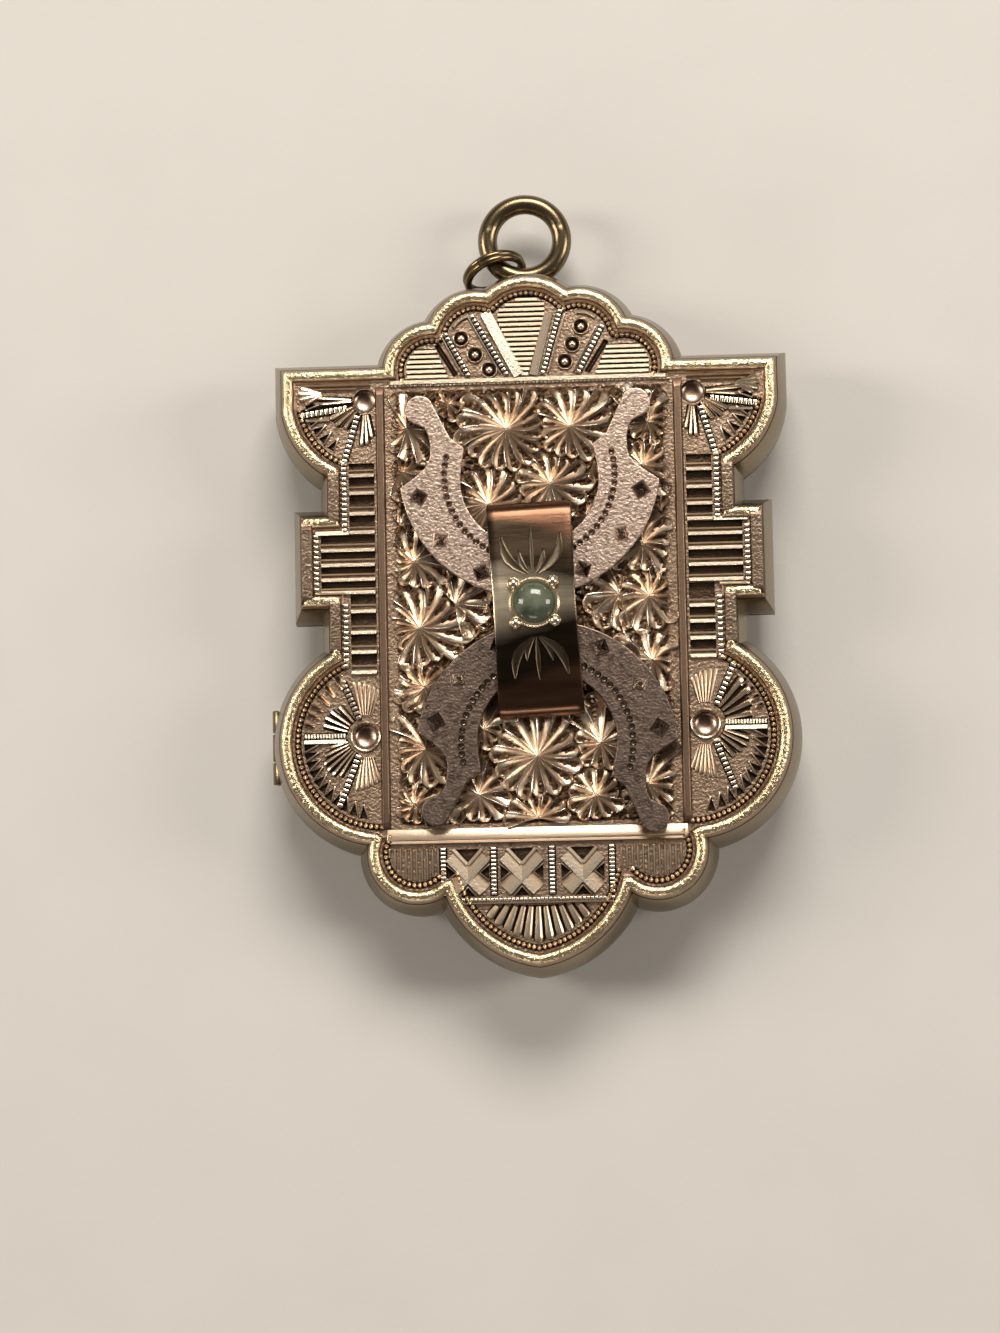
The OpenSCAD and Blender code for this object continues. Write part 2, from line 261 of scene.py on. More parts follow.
def join(name: str, pieces: Sequence[Piece]) -> Piece:
    """Join several objects into one piece.

    Args:
        name: The joined piece's name.
        pieces: The objects, the first of which stays.

    Returns:
        The joined piece.
    """
    make_active(pieces[0])
    for piece in pieces:
        piece.select_set(True)
    bpy.ops.object.join()
    pieces[0].name = name
    return pieces[0]


def settle(piece: Piece, body: Body, slot: Slot, finish: Material, *nodes: str) -> None:
    """Bring a finished piece to metres, dress it and let it ride on its body.

    Args:
        piece: The finished piece, in millimetres.
        body: The body that it moves with.
        slot: The record's slot that its finish stands for; not used.
        finish: Its material.
        *nodes: The plain solids that it replaces.
    """
    bake_place(piece)
    piece.data.transform(Matrix.Scale(MM, 4))
    piece.data.materials.clear()
    piece.data.materials.append(finish)
    piece.data.update()
    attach(piece, body.value)
    if nodes:
        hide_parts(*nodes)
    LOG.info("%s: %d faces on %s", piece.name, len(piece.data.polygons), body.value)


class Shade:
    """A material's node tree, built one node at a time."""

    def __init__(self, name: str) -> None:
        """Start an empty material with a shader and its output."""
        self.material = bpy.data.materials.new(name)
        self.material.use_nodes = True
        self.tree = self.material.node_tree
        self.tree.nodes.clear()
        self.shader = self.tree.nodes.new("ShaderNodeBsdfPrincipled")
        output = self.tree.nodes.new("ShaderNodeOutputMaterial")
        self.tree.links.new(self.shader.outputs["BSDF"], output.inputs["Surface"])
        self.place = self.tree.nodes.new("ShaderNodeTexCoord").outputs["Object"]

    def node(self, kind: str, **values: object) -> bpy.types.Node:
        """Add one node.

        Args:
            kind: The node's type, without its common prefix.
            **values: Sockets to set or to link, with spaces written as underscores, and settings.

        Returns:
            The new node.
        """
        node = self.tree.nodes.new("ShaderNode" + kind)
        for key, value in values.items():
            if hasattr(node, key):
                setattr(node, key, value)
                continue
            self.feed(node.inputs[key.replace("_", " ")], value)
        return node

    def feed(self, socket: Socket, value: object) -> None:
        """Link an output to a socket, or set the socket's own value.

        Args:
            socket: The socket.
            value: The output or the value.
        """
        if isinstance(value, Socket):
            self.tree.links.new(value, socket)
            return
        socket.default_value = value

    def maths(self, operation: str, *terms: object) -> Socket:
        """Work out one sum on values or sockets.

        Args:
            operation: Blender's name of the operation.
            *terms: Its terms in order.

        Returns:
            The result's socket.
        """
        node = self.node("Math", operation=operation)
        for place, term in enumerate(terms):
            self.feed(node.inputs[place], term)
        return node.outputs[0]

    def noise(self, size_mm: float, detail: float, stretch: Triple = (1, 1, 1)) -> Socket:
        """Noise on the object's own coordinates.

        Args:
            size_mm: The size of its patches, in millimetres.
            detail: How many finer layers it has.
            stretch: How much denser it is along each axis.

        Returns:
            The noise's value, about 0.5 on average.
        """
        mapping = self.node("Mapping", Vector=self.place, Scale=stretch)
        noise = self.node("TexNoise", Vector=mapping.outputs[0], Scale=1 / (size_mm * MM), Detail=detail)
        return noise.outputs["Fac"]

    def ramp(self, value: Socket, stops: Sequence[tuple[float, Colour]]) -> Socket:
        """Turn a value into a colour.

        Args:
            value: The value from 0 to 1.
            stops: Each stop's place and colour.

        Returns:
            The colour's socket.
        """
        node = self.node("ValToRGB", Fac=value)
        elements = node.color_ramp.elements
        while len(elements) < len(stops):
            elements.new(0.5)
        for element, (place, colour) in zip(elements, stops):
            element.position = place
            element.color = (*colour, 1)
        return node.outputs["Color"]

    def spread(self, value: Socket, low: float, high: float, out: Point = (0, 1)) -> Socket:
        """Map a range of a value to another range, and clamp it.

        Args:
            value: The value to map.
            low: Where the range starts.
            high: Where it ends.
            out: The results at both ends.

        Returns:
            The mapped value's socket.
        """
        node = self.node("MapRange", Value=value, From_Min=low, From_Max=high, To_Min=out[0], To_Max=out[1])
        return node.outputs["Result"]

    def coat(self, colour: Socket, roughness: object, metallic: float = 0.0) -> None:
        """Give the shader its colour, its roughness and its share of metal."""
        for name, value in (("Base Color", colour), ("Roughness", roughness), ("Metallic", metallic)):
            self.feed(self.shader.inputs[name], value)

    def emboss(self, height: Socket, strength: float, depth_mm: float) -> None:
        """Let a fine relief shade the surface."""
        bump = self.node("Bump", Strength=strength, Distance=depth_mm * MM, Height=height)
        self.feed(self.shader.inputs["Normal"], bump.outputs["Normal"])


@dataclass(frozen=True)
class WornAndShadedMetal:
    """Gilt metal coloured by its height: its low places get patina and painted shade, its high places bright
    rubbed metal and a painted highlight.
    """

    name: str
    pit: Colour
    field_colour: Colour
    crest: Colour
    pit_z: float
    crest_z: float
    field_place: float = 0.45
    crest_from: float = 0.0
    pit_roughness: float = 0.6
    crest_roughness: float = 0.26
    mottle: float = 0.25
    mottle_mm: float = 1.4
    grain: float = 0.2
    grain_mm: float = 0.09
    grain_depth: float = 0.02
    speck_share: float = 0.6
    speck_grains: float = 2.2

    def material(self) -> Material:
        """Build the finish.

        Returns:
            The material.
        """
        shade = Shade(self.name)
        height = shade.node("SeparateXYZ", Vector=shade.place).outputs["Z"]
        # Height paints patina and shade into the low places, and wear and a highlight onto the high ones
        wear_and_light = shade.spread(height, self.pit_z * MM, self.crest_z * MM)
        patches = shade.noise(self.mottle_mm, 5)
        specks = shade.noise(self.grain_mm * self.speck_grains, 3)
        for noise, share in ((patches, self.mottle), (specks, self.speck_share * self.mottle)):
            wear_and_light = shade.maths("ADD", wear_and_light, shade.maths("MULTIPLY_ADD", noise, share, -0.5 * share))
        mid = self.field_place
        stops = [(0.4 * mid, self.pit), (mid, self.field_colour), (1.0, self.crest)]
        if self.crest_from > mid:
            stops.insert(2, (self.crest_from, self.field_colour))
        rough = shade.spread(wear_and_light, 0.0, 1.0, (self.pit_roughness, self.crest_roughness))
        shade.coat(shade.ramp(wear_and_light, stops), rough, 1.0)
        shade.emboss(shade.noise(self.grain_mm, 4), self.grain, self.grain_depth)
        return shade.material


@dataclass(frozen=True)
class StrapMetal:
    """Polished gilt with painted light: a painted highlight over the crown of the strap, painted shade over
    its shoulders and more of it towards the right, and a dark reddish brown towards its ends that paints a
    reflection.
    """

    name: str
    crown_highlight: Colour = (1.0, 0.84, 0.62)
    shoulder_shade: Colour = (0.048, 0.033, 0.021)
    # The ends' dark reddish brown: a painted reflection
    foot: Colour = (0.13, 0.066, 0.04)
    half_length: float = 5.45
    shade_from: float = -1.4
    shade_to: float = 2.2
    right_shade: float = 0.2
    streak: float = 0.16

    def material(self) -> Material:
        """Build the finish.

        Returns:
            The material.
        """
        shade = Shade(self.name)
        place = shade.node("SeparateXYZ", Vector=shade.place).outputs
        streaks = shade.noise(1.2, 4, (0.25, 1.6, 1))
        # A painted highlight on the crown fades into painted shade on the shoulders and a painted reflection
        # at the ends, with more shade towards the right
        reach = shade.maths("DIVIDE", shade.maths("ABSOLUTE", place["Y"]), self.half_length * MM)
        right_shading = shade.spread(place["X"], self.shade_from * MM, self.shade_to * MM, (0.0, self.right_shade))
        drift = shade.maths("MULTIPLY_ADD", streaks, self.streak, -0.5 * self.streak)
        edge = shade.maths("ADD", shade.maths("ADD", reach, right_shading), drift)
        stops = [
            (0.0, self.crown_highlight), (0.12, self.crown_highlight), (0.4, self.shoulder_shade), (0.72, self.shoulder_shade),
            (0.82, self.foot),
        ]
        shade.coat(shade.ramp(edge, stops), shade.spread(streaks, 0.3, 0.7, (0.2, 0.34)), 1.0)
        shade.emboss(shade.noise(0.1, 3, (0.12, 1, 1)), 0.14, 0.02)
        return shade.material


@dataclass(frozen=True)
class CabochonGlass:
    """The stone: a milky green dome with a clouded middle."""

    name: str
    cloud: Colour = (0.15, 0.165, 0.115)
    depth: Colour = (0.045, 0.062, 0.042)
    refraction: float = 1.54
    milkiness: float = 0.45
    scatter: Triple = (0.0006, 0.0009, 0.0005)

    def material(self) -> Material:
        """Build the finish.

        Returns:
            The material.
        """
        shade = Shade(self.name)
        clouds = shade.spread(shade.noise(0.9, 3), 0.32, 0.68)
        colour = shade.ramp(clouds, [(0.0, self.depth), (1.0, self.cloud)])
        shade.coat(colour, shade.spread(shade.noise(0.3, 3), 0.3, 0.7, (0.06, 0.15)))
        inputs = shade.shader.inputs
        inputs["IOR"].default_value = self.refraction
        inputs["Subsurface Weight"].default_value = self.milkiness
        inputs["Subsurface Radius"].default_value = self.scatter
        inputs["Subsurface Scale"].default_value = 1.0
        return shade.material


@dataclass(frozen=True)
class FloorFinish:
    """The pale, even surface that the locket lies on."""

    name: str
    pale: Colour = (0.6, 0.58, 0.55)
    shadowed: Colour = (0.585, 0.565, 0.535)

    def material(self) -> Material:
        """Build the finish.

        Returns:
            The material.
        """
        shade = Shade(self.name)
        shade.coat(shade.ramp(shade.noise(6, 4), [(0.3, self.shadowed), (0.7, self.pale)]), 0.75)
        shade.emboss(shade.noise(0.25, 4), 0.15, 0.05)
        return shade.material


class Edge(Enum):
    """What an edge of the case's outline is."""

    ARC = "arc"
    UPRIGHT = "upright"
    LEVEL = "level"


@dataclass(frozen=True)
class OutlineEdge:
    """One edge of the right half of the outline, from the top to the tip.

    An arc has its centre and radius. An upright or level edge has its place on its axis, and grows
    along sign.
    """

    kind: Edge
    centre: Point = (0.0, 0.0)
    radius: float = 0.0
    place: float = 0.0
    sign: float = 1.0
    points: int = 1
    end: Point = (0.0, 0.0)


def nearest(points: Sequence[Point], seed: Point) -> Point:
    """Give the point that lies nearest to a seed."""
    return min(points, key=lambda point: math.dist(point, seed))


@dataclass
class Outline:
    """The case's outline, which can be grown outwards or shrunk inwards."""

    fineness: int = 6
    edges: list[OutlineEdge] = field(default_factory=lambda: [
        OutlineEdge(Edge.ARC, (0, 13.65), 2.95, points=5, end=(1.9, 15.85)),
        OutlineEdge(Edge.ARC, (2.62, 13.55), 2.35, points=5, end=(4.85, 14.3)),
        OutlineEdge(Edge.ARC, (4.9, 12.05), 2.25, points=5, end=(7.15, 12.05)),
        OutlineEdge(Edge.LEVEL, place=12.05, end=(12.35, 12.05)),
        OutlineEdge(Edge.UPRIGHT, place=12.35, end=(12.35, 10.1)),
        OutlineEdge(Edge.ARC, (8, 10.8), 4.4, points=7, end=(STEP_X, 6.9)),
        OutlineEdge(Edge.UPRIGHT, place=STEP_X, end=(STEP_X, 4.5)),
        OutlineEdge(Edge.LEVEL, place=4.5, end=(TAB_X, 4.5)),
        OutlineEdge(Edge.UPRIGHT, place=TAB_X, end=(TAB_X, 0.25)),
        OutlineEdge(Edge.LEVEL, place=0.25, sign=-1, end=(STEP_X, 0.25)),
        OutlineEdge(Edge.UPRIGHT, place=STEP_X, end=(STEP_X, -2.4)),
        OutlineEdge(Edge.ARC, (7.65, -6.8), 5, points=12, end=(8.19, -11.78)),
        OutlineEdge(Edge.ARC, (6, -12.45), 2.3, points=7, end=(4.55, -14.25)),
        OutlineEdge(Edge.ARC, (-0.83, -12.35), 5.7, points=7, end=(0, -18)),
    ])

    def arcs_meet(self, a: OutlineEdge, b: OutlineEdge, grow: float) -> Point:
        """Find where two grown arcs meet, or step in from their corner when they are shrunk.

        Args:
            a: The arc before the corner.
            b: The arc after it.
            grow: How far the outline is grown.

        Returns:
            The corner.
        """
        outward = max(grow, 0)
        ra, rb = a.radius + outward, b.radius + outward
        gap = math.dist(a.centre, b.centre)
        along = (ra * ra - rb * rb + gap * gap) / (2 * gap)
        off = math.sqrt(ra * ra - along * along)
        ux, uy = (b.centre[0] - a.centre[0]) / gap, (b.centre[1] - a.centre[1]) / gap
        foot = (a.centre[0] + along * ux, a.centre[1] + along * uy)
        crossings = [(foot[0] - side * off * uy, foot[1] + side * off * ux) for side in (1, -1)]
        cusp = nearest(crossings, a.end)
        if grow >= 0:
            return cusp
        nx = (cusp[0] - a.centre[0]) / a.radius + (cusp[0] - b.centre[0]) / b.radius
        ny = (cusp[1] - a.centre[1]) / a.radius + (cusp[1] - b.centre[1]) / b.radius
        length = math.hypot(nx, ny)
        return (cusp[0] + grow * nx / length, cusp[1] + grow * ny / length)

    def arc_at(self, arc: OutlineEdge, other: OutlineEdge, grow: float, seed: Point) -> Point:
        """Find where a grown arc meets a grown straight edge.

        Args:
            arc: The arc.
            other: The upright or level edge.
            grow: How far the outline is grown.
            seed: A point near the corner.

        Returns:
            The corner.
        """
        place = other.place + grow * other.sign
        radius = arc.radius + grow
        cx, cy = arc.centre
        if other.kind is Edge.UPRIGHT:
            off = math.sqrt(radius * radius - (place - cx) ** 2)
            return nearest([(place, cy + off), (place, cy - off)], seed)
        off = math.sqrt(radius * radius - (place - cy) ** 2)
        return nearest([(cx + off, place), (cx - off, place)], seed)

    def corner(self, a: OutlineEdge, b: OutlineEdge, grow: float) -> Point:
        """Find the corner between two edges.

        Args:
            a: The edge before the corner.
            b: The edge after it.
            grow: How far the outline is grown.

        Returns:
            The corner.
        """
        if a.kind is Edge.ARC and b.kind is Edge.ARC:
            return self.arcs_meet(a, b, grow)
        if a.kind is Edge.ARC:
            return self.arc_at(a, b, grow, a.end)
        if b.kind is Edge.ARC:
            return self.arc_at(b, a, grow, a.end)
        upright, level = (a, b) if a.kind is Edge.UPRIGHT else (b, a)
        return (upright.place + grow, level.place + grow * level.sign)

    def half(self, grow: float) -> list[Point]:
        """List the right half's points, from the top to the tip.

        Args:
            grow: How far the outline is grown.

        Returns:
            The points.
        """
        top = self.edges[0]
        axis = OutlineEdge(Edge.UPRIGHT, place=-grow)
        tip = self.arc_at(self.edges[-1], axis, grow, (0, -18))
        starts = [(0.0, top.centre[1] + top.radius + grow)]
        starts += [self.corner(a, b, grow) for a, b in zip(self.edges, self.edges[1:])]
        points: list[Point] = []
        for edge, first, last in zip(self.edges, starts, starts[1:] + [tip]):
            if edge.kind is not Edge.ARC:
                points.append(first)
                continue
            (cx, cy), radius = edge.centre, edge.radius + grow
            a0 = math.atan2(first[1] - cy, first[0] - cx)
            a1 = math.atan2(last[1] - cy, last[0] - cx)
            count = edge.points * self.fineness
            points += [polar(edge.centre, a0 + (a1 - a0) * k / count, radius) for k in range(count)]
        return points + [tip]

    def ring(self, grow: float, z: float) -> np.ndarray:
        """Give the whole outline as a closed ring.

        Args:
            grow: How far the outline is grown.
            z: The ring's height.

        Returns:
            One row of X, Y and Z for each point.
        """
        right = self.half(grow)
        left = [(-x, y) for x, y in right[-2:0:-1]]
        return np.array([(x, y, z) for x, y in right + left])

    def reach(self, origin: Point, angle: float, grow: float) -> float:
        """Measure from a point to the outline along a direction.

        Args:
            origin: Where the measure starts.
            angle: Its direction in radians, from +X.
            grow: How far the outline is grown.

        Returns:
            The distance to the first crossing in millimetres, or 0 where there is none.
        """
        ring = self.ring(grow, 0)[:, :2]
        start, stop = ring, np.roll(ring, -1, axis=0)
        direction = np.array([math.cos(angle), math.sin(angle)])
        side = stop - start
        to_start = start - np.array(origin)
        cross = direction[0] * side[:, 1] - direction[1] * side[:, 0]
        cross[np.abs(cross) < 1e-9] = 1e-9
        along = (to_start[:, 0] * side[:, 1] - to_start[:, 1] * side[:, 0]) / cross
        share = (to_start[:, 0] * direction[1] - to_start[:, 1] * direction[0]) / cross
        hits = along[(along > 1e-6) & (share >= 0) & (share <= 1)]
        return float(hits.min()) if len(hits) else 0.0


def loft(name: str, rings: Sequence[np.ndarray]) -> Piece:
    """Skin closed rings of equal count and close both ends.

    Args:
        name: The piece's name.
        rings: The rings in order, each one row a point.

    Returns:
        The closed shape, with its faces outwards.
    """
    count = len(rings[0])
    faces: list[Sequence[int]] = [tuple(range(count))]
    for step in range(len(rings) - 1):
        low, high = step * count, (step + 1) * count
        for k in range(count):
            on = (k + 1) % count
            faces.append((low + k, low + on, high + on, high + k))
    faces.append(tuple(range((len(rings) - 1) * count, len(rings) * count)))
    piece = mesh_piece(name, np.concatenate(rings), faces)
    face_outwards(piece)
    return piece


@dataclass(frozen=True)
class Die:
    """A small shape that is modelled once and struck many times."""

    points: np.ndarray
    faces: list[tuple[int, ...]]

    @classmethod
    def take(cls, piece: Piece) -> "Die":
        """Keep a modelled shape as a die and clear it away.

        Args:
            piece: The modelled shape, in units of one.

        Returns:
            The die.
        """
        bake_place(piece)
        points = np.array([vertex.co[:] for vertex in piece.data.vertices])
        faces = [tuple(face.vertices) for face in piece.data.polygons]
        bpy.data.objects.remove(piece)
        return cls(points, faces)


class Dies:
    """The engraver's and setter's stock of small shapes."""

    def __init__(self) -> None:
        """Model every die once."""
        self.petal = self.model_petal()
        self.ray = self.model_ray()
        self.bead = self.model_bead()
        self.ledge = self.model_ledge()
        self.notch = self.model_notch()
        self.bowl = self.model_bowl()
        self.dish = self.model_dish()
        self.rim = self.model_rim()
        # A square bead and a raised line, from below zero to one
        self.block = self.sloped_block((0.84, 0.84, 1), 0.3, 0.12, 0.38)
        self.slat = self.sloped_block((0.96, 0.6, 1), 0.04, 0.08, 0.42)
        # Cutters for a groove that ends in an edge, and for a flat recess
        self.groove = self.sunk_block((0.9, 0.12, 1))
        self.trench = self.sunk_block((0.97, 0.9, 1))

    @staticmethod
    def shaped_sheet(
        along: Sequence[float], across: Sequence[float], height: Callable[[int, int], float],
    ) -> Die:
        """Shape a grid into a die, along X from 0 to 1 and across from -1 to 1.

        Args:
            along: The place of each column of points.
            across: The place of each row of points.
            height: Gives the height at a column and a row.

        Returns:
            The die.
        """
        columns, rows = len(along) - 1, len(across) - 1
        bpy.ops.mesh.primitive_grid_add(x_subdivisions=columns, y_subdivisions=rows, size=2)
        piece = bpy.context.active_object
        for vertex in piece.data.vertices:
            column = round((vertex.co.x + 1) * columns / 2)
            row = round((vertex.co.y + 1) * rows / 2)
            vertex.co = (along[column], across[row], height(column, row))
        return Die.take(piece)

    @classmethod
    def model_petal(cls) -> Die:
        """Model a gouged petal: a valley, gentle on one side and steep on the other, between thin ridges.

        Returns:
            The die.
        """
        across = (-1.07, -1, -0.96, -0.8, -0.46, -0.06, 0.34, 0.66, 0.86, 0.96, 1, 1.07)
        side = (-0.5, 0.98, 1, 0.6, 0.3, 0.1, 0, 0.06, 0.36, 0.98, 1, -0.5)
        along = (0, 0.08, 0.24, 0.46, 0.68, 0.84, 0.93, 0.975, 1)
        floor = (0.55, 0.4, 0.22, 0.08, 0, 0.02, 0.14, 0.72, -0.5)
        ridge = (0.55, 0.74, 0.92, 1, 1, 1, 1, 0.95, -0.5)

        def height(column: int, row: int) -> float:
            """Give the valley's height, or the skirt's at its edges."""
            if side[row] < 0:
                return side[row]
            return floor[column] + (ridge[column] - floor[column]) * side[row]

        return cls.shaped_sheet(along, across, height)

    @classmethod
    def model_ray(cls) -> Die:
        """Model a raised ray: a bright face that tips to one side, with a steep fall on the other.

        Returns:
            The die.
        """
        across = (-1, -0.86, -0.3, 0.3, 0.7, 1)
        side = (-0.5, 0.62, 0.9, 1, 0.6, -0.5)
        along = (0, 0.04, 0.3, 0.6, 0.84, 0.93, 0.98, 1)
        back = (-0.5, 0.7, 0.9, 1, 1, 0.95, 0.7, -0.5)

        def height(column: int, row: int) -> float:
            """Give the face's height, or the skirt's at its edges."""
            lower = min(side[row], back[column])
            return lower if lower < 0 else side[row] * back[column]

        return cls.shaped_sheet(along, across, height)

    @staticmethod
    def model_bead() -> Die:
        """Model a bead: a ball of radius one, cut off a little under its middle."""
        bpy.ops.mesh.primitive_ico_sphere_add(subdivisions=2, radius=1)
        piece = bpy.context.active_object
        halve(piece, (0, 0, -0.3), (0, 0, 1))
        return Die.take(piece)

    @staticmethod
    def sloped_block(top: Triple, inset: float, rise: float, lift: float) -> Die:
        """Model a bar of unit length and width with sloped sides and a pillowed top.

        Args:
            top: The top face's size against the foot.
            inset: How far the pillow's edge lies inside the top.
            rise: How far the pillow rises.
            lift: How far the whole bar is raised from its middle.

        Returns:
            The die.
        """
        bpy.ops.mesh.primitive_cube_add(size=1)
        piece = bpy.context.active_object
        with editing(piece) as mesh:
            resize_faces(mesh, 1, top)
            bpy.ops.mesh.inset(thickness=inset)
            bpy.ops.transform.translate(value=(0, 0, rise))
            bpy.ops.mesh.select_all(action="SELECT")
            bpy.ops.transform.translate(value=(0, 0, lift))
        return Die.take(piece)

    @staticmethod
    def model_ledge() -> Die:
        """Model a raised line whose top leans to its left, where it is lowest.

        Returns:
            The die.
        """
        bpy.ops.mesh.primitive_cube_add(size=1)
        piece = bpy.context.active_object
        for vertex in piece.data.vertices:
            x, y, z = vertex.co
            top = 1.0 if y < 0 else 0.5
            vertex.co = (0.97 * x, 0.86 * y, top) if z > 0 else (x, y, -0.2)
        return Die.take(piece)

    @staticmethod
    def sunk_block(foot: Triple) -> Die:
        """Model a cutter: a bar of unit size whose lower face is pinched.

        Args:
            foot: The lower face's size against the top.

        Returns:
            The die.
        """
        bpy.ops.mesh.primitive_cube_add(size=1)
        piece = bpy.context.active_object
        with editing(piece) as mesh:
            resize_faces(mesh, -1, foot)
        return Die.take(piece)

    @staticmethod
    def model_notch() -> Die:
        """Model a cutter for a wedge with a flat foot: a point at the origin, widest at X = 1.

        Returns:
            The die.
        """
        bpy.ops.mesh.primitive_cylinder_add(vertices=3, radius=0.6, depth=1)
        piece = bpy.context.active_object
        foot = ((0.22, 0, -1), (0.94, -0.36, -1), (0.94, 0.36, -1))
        top = ((0, 0, 0.5), (1, -0.5, 0.5), (1, 0.5, 0.5))
        for corners in (foot, top):
            ring = [vertex for vertex in piece.data.vertices if vertex.co.z * corners[0][2] > 0]
            ring.sort(key=lambda vertex: math.atan2(vertex.co.y, vertex.co.x))
            for vertex, corner in zip(ring, corners):
                vertex.co = corner
        face_outwards(piece)
        return Die.take(piece)

    @staticmethod
    def model_bowl() -> Die:
        """Model a cutter for a round bowl: a flattened ball of radius one."""
        bpy.ops.mesh.primitive_uv_sphere_add(segments=36, ring_count=18, radius=1)
        return Die.take(bpy.context.active_object)

    @staticmethod
    def model_dish() -> Die:
        """Model the lining of a bowl: half a ball of radius one, deepest near the top edge.

        Returns:
            The die.
        """
        bpy.ops.mesh.primitive_uv_sphere_add(segments=36, ring_count=18, radius=1)
        piece = bpy.context.active_object
        for vertex in piece.data.vertices:
            inward = 1 - vertex.co.x ** 2 - vertex.co.y ** 2
            vertex.co.x -= 0.14 * inward
            vertex.co.y += 0.34 * inward
        with editing(piece, "SELECT"):
            bpy.ops.mesh.bisect(plane_co=(0, 0, 0.02), plane_no=(0, 0, 1), clear_outer=True)
            bpy.ops.mesh.select_all(action="SELECT")
            bpy.ops.mesh.flip_normals()
        return Die.take(piece)

    @staticmethod
    def model_rim() -> Die:
        """Model a low ring of radius one around an open middle.

        Returns:
            The die.
        """
        bpy.ops.mesh.primitive_circle_add(vertices=36, radius=1, fill_type="NOTHING")
        piece = bpy.context.active_object
        reached, height = 1.0, 0.0
        with editing(piece, "SELECT"):
            for radius, level in ((0.97, 0.7), (0.92, 1.0), (0.86, 0.85), (0.82, -0.3)):
                bpy.ops.mesh.extrude_edges_move()
                bpy.ops.transform.resize(value=(radius / reached, radius / reached, 1))
                bpy.ops.transform.translate(value=(0, 0, level - height))
                reached, height = radius, level
        return Die.take(piece)


class Strikes:
    """Struck copies of the dies, gathered into one piece."""

    def __init__(self, dies: Dies, level: float) -> None:
        """Start with nothing struck.

        Args:
            dies: The stock of dies.
            level: The height of the surface that is struck.
        """
        self.dies = dies
        self.level = level
        self.points: list[np.ndarray] = []
        self.faces: list[tuple[int, ...]] = []
        self.count = 0

    def add(self, die: Die, points: np.ndarray) -> None:
        """Add one struck copy, whose points are already in place."""
        self.points.append(points)
        self.faces += [tuple(self.count + k for k in face) for face in die.faces]
        self.count += len(points)

    def strike(self, die: Die, place: Point, turn: float, size: Triple, lift: float = 0.0) -> None:
        """Strike a die at a place.

        Args:
            die: The die.
            place: Where its origin goes.
            turn: Its turn in radians.
            size: Its size along, across and up.
            lift: How far above the surface its origin lies.
        """
        x, y, z = (die.points * np.array(size)).T
        self.lay(die, place, turn, (x, y, z), lift)

    def lay(self, die: Die, hub: Point, turn: float, shape: Sequence[np.ndarray], lift: float = 0.0) -> None:
        """Add a shaped copy of a die, turned about a hub.

        Args:
            die: The die, for its faces.
            hub: The point that it is turned about.
            turn: Its turn in radians.
            shape: How far its points lie along the turn, across it and up.
            lift: How far above the surface its origin lies.
        """
        x, y, z = shape
        cos, sin = math.cos(turn), math.sin(turn)
        places = [hub[0] + x * cos - y * sin, hub[1] + x * sin + y * cos, self.level + lift + z]
        self.add(die, np.stack(places, axis=1))

    def bar(self, die: Die, start: Point, stop: Point, size: Point, lift: float = 0.0) -> None:
        """Strike a long die between two points.

        Args:
            die: The die, of unit length about its middle.
            start: One end.
            stop: The other end.
            size: Its width and height.
            lift: How far above the surface it starts.
        """
        middle = ((start[0] + stop[0]) / 2, (start[1] + stop[1]) / 2)
        turn = math.atan2(stop[1] - start[1], stop[0] - start[0])
        self.strike(die, middle, turn, (math.dist(start, stop), *size), lift)

    def line(self, start: Point, stop: Point, width: float, height: float) -> None:
        """Strike a raised line between two points."""
        self.bar(self.dies.slat, start, stop, (width, height))

    def channel(self, start: Point, stop: Point, width: float, height: float = SHADE_STRIP_H) -> None:
        """Lay a dark strip of painted shade between two points, under raised work."""
        self.line(start, stop, width, height)

    def ledge(self, y: float, ends: Point, width: float, height: float) -> None:
        """Strike a level line that leans to the top, where the light comes from."""
        self.bar(self.dies.ledge, (min(ends), y), (max(ends), y), (width, height))

    def cut(self, start: Point, stop: Point, width: float, depth: float) -> None:
        """Strike a groove cutter between two points."""
        self.bar(self.dies.groove, start, stop, (width * 1.3, depth * 1.6), -0.2 * depth)

    def recess(self, start: Point, stop: Point, width: float, depth: float) -> None:
        """Strike the cutter of a flat recess between two points."""
        self.bar(self.dies.trench, start, stop, (width, 2 * depth))

    def row(self, die: Die, route: Sequence[Point], pitch: float, size: Triple) -> None:
        """Strike a die again and again along a route.

        Args:
            die: The die.
            route: The route's points.
            pitch: The distance between strikes.
            size: The die's size along, across and up.
        """
        path = np.array(route)
        steps = np.diff(path, axis=0)
        reached = np.concatenate([[0], np.cumsum(np.hypot(*steps.T))])
        count = max(2, round(reached[-1] / pitch) + 1)
        for distance in np.linspace(0, reached[-1], count):
            place = (np.interp(distance, reached, path[:, 0]), np.interp(distance, reached, path[:, 1]))
            step = steps[min(int(np.searchsorted(reached, distance, "right")) - 1, len(steps) - 1)]
            self.strike(die, place, math.atan2(step[1], step[0]), size)

    def beads(self, route: Sequence[Point], pitch: float, radius: float, height: float) -> None:
        """Strike a row of round beads along a route."""
        self.row(self.dies.bead, route, pitch, (radius, radius, height))

    def blocks(self, route: Sequence[Point], pitch: float, width: float, height: float) -> None:
        """Strike a row of square beads along a route."""
        self.row(self.dies.block, route, pitch, (0.74 * pitch, width, height))

    def blade(self, die: Die, hub: Point, angle: float, span: Point, widths: Point, height: float) -> None:
        """Strike a tapered, round-ended sheet that points away from a hub.

        Args:
            die: The petal or the ray.
            hub: The point it starts from.
            angle: Its direction in radians.
            span: Where it starts and ends, measured from the hub.
            widths: Half its width at both ends.
            height: Its height.
        """
        s, t, h = die.points.T
        length = span[1] - span[0]
        half = widths[0] + (widths[1] - widths[0]) * s
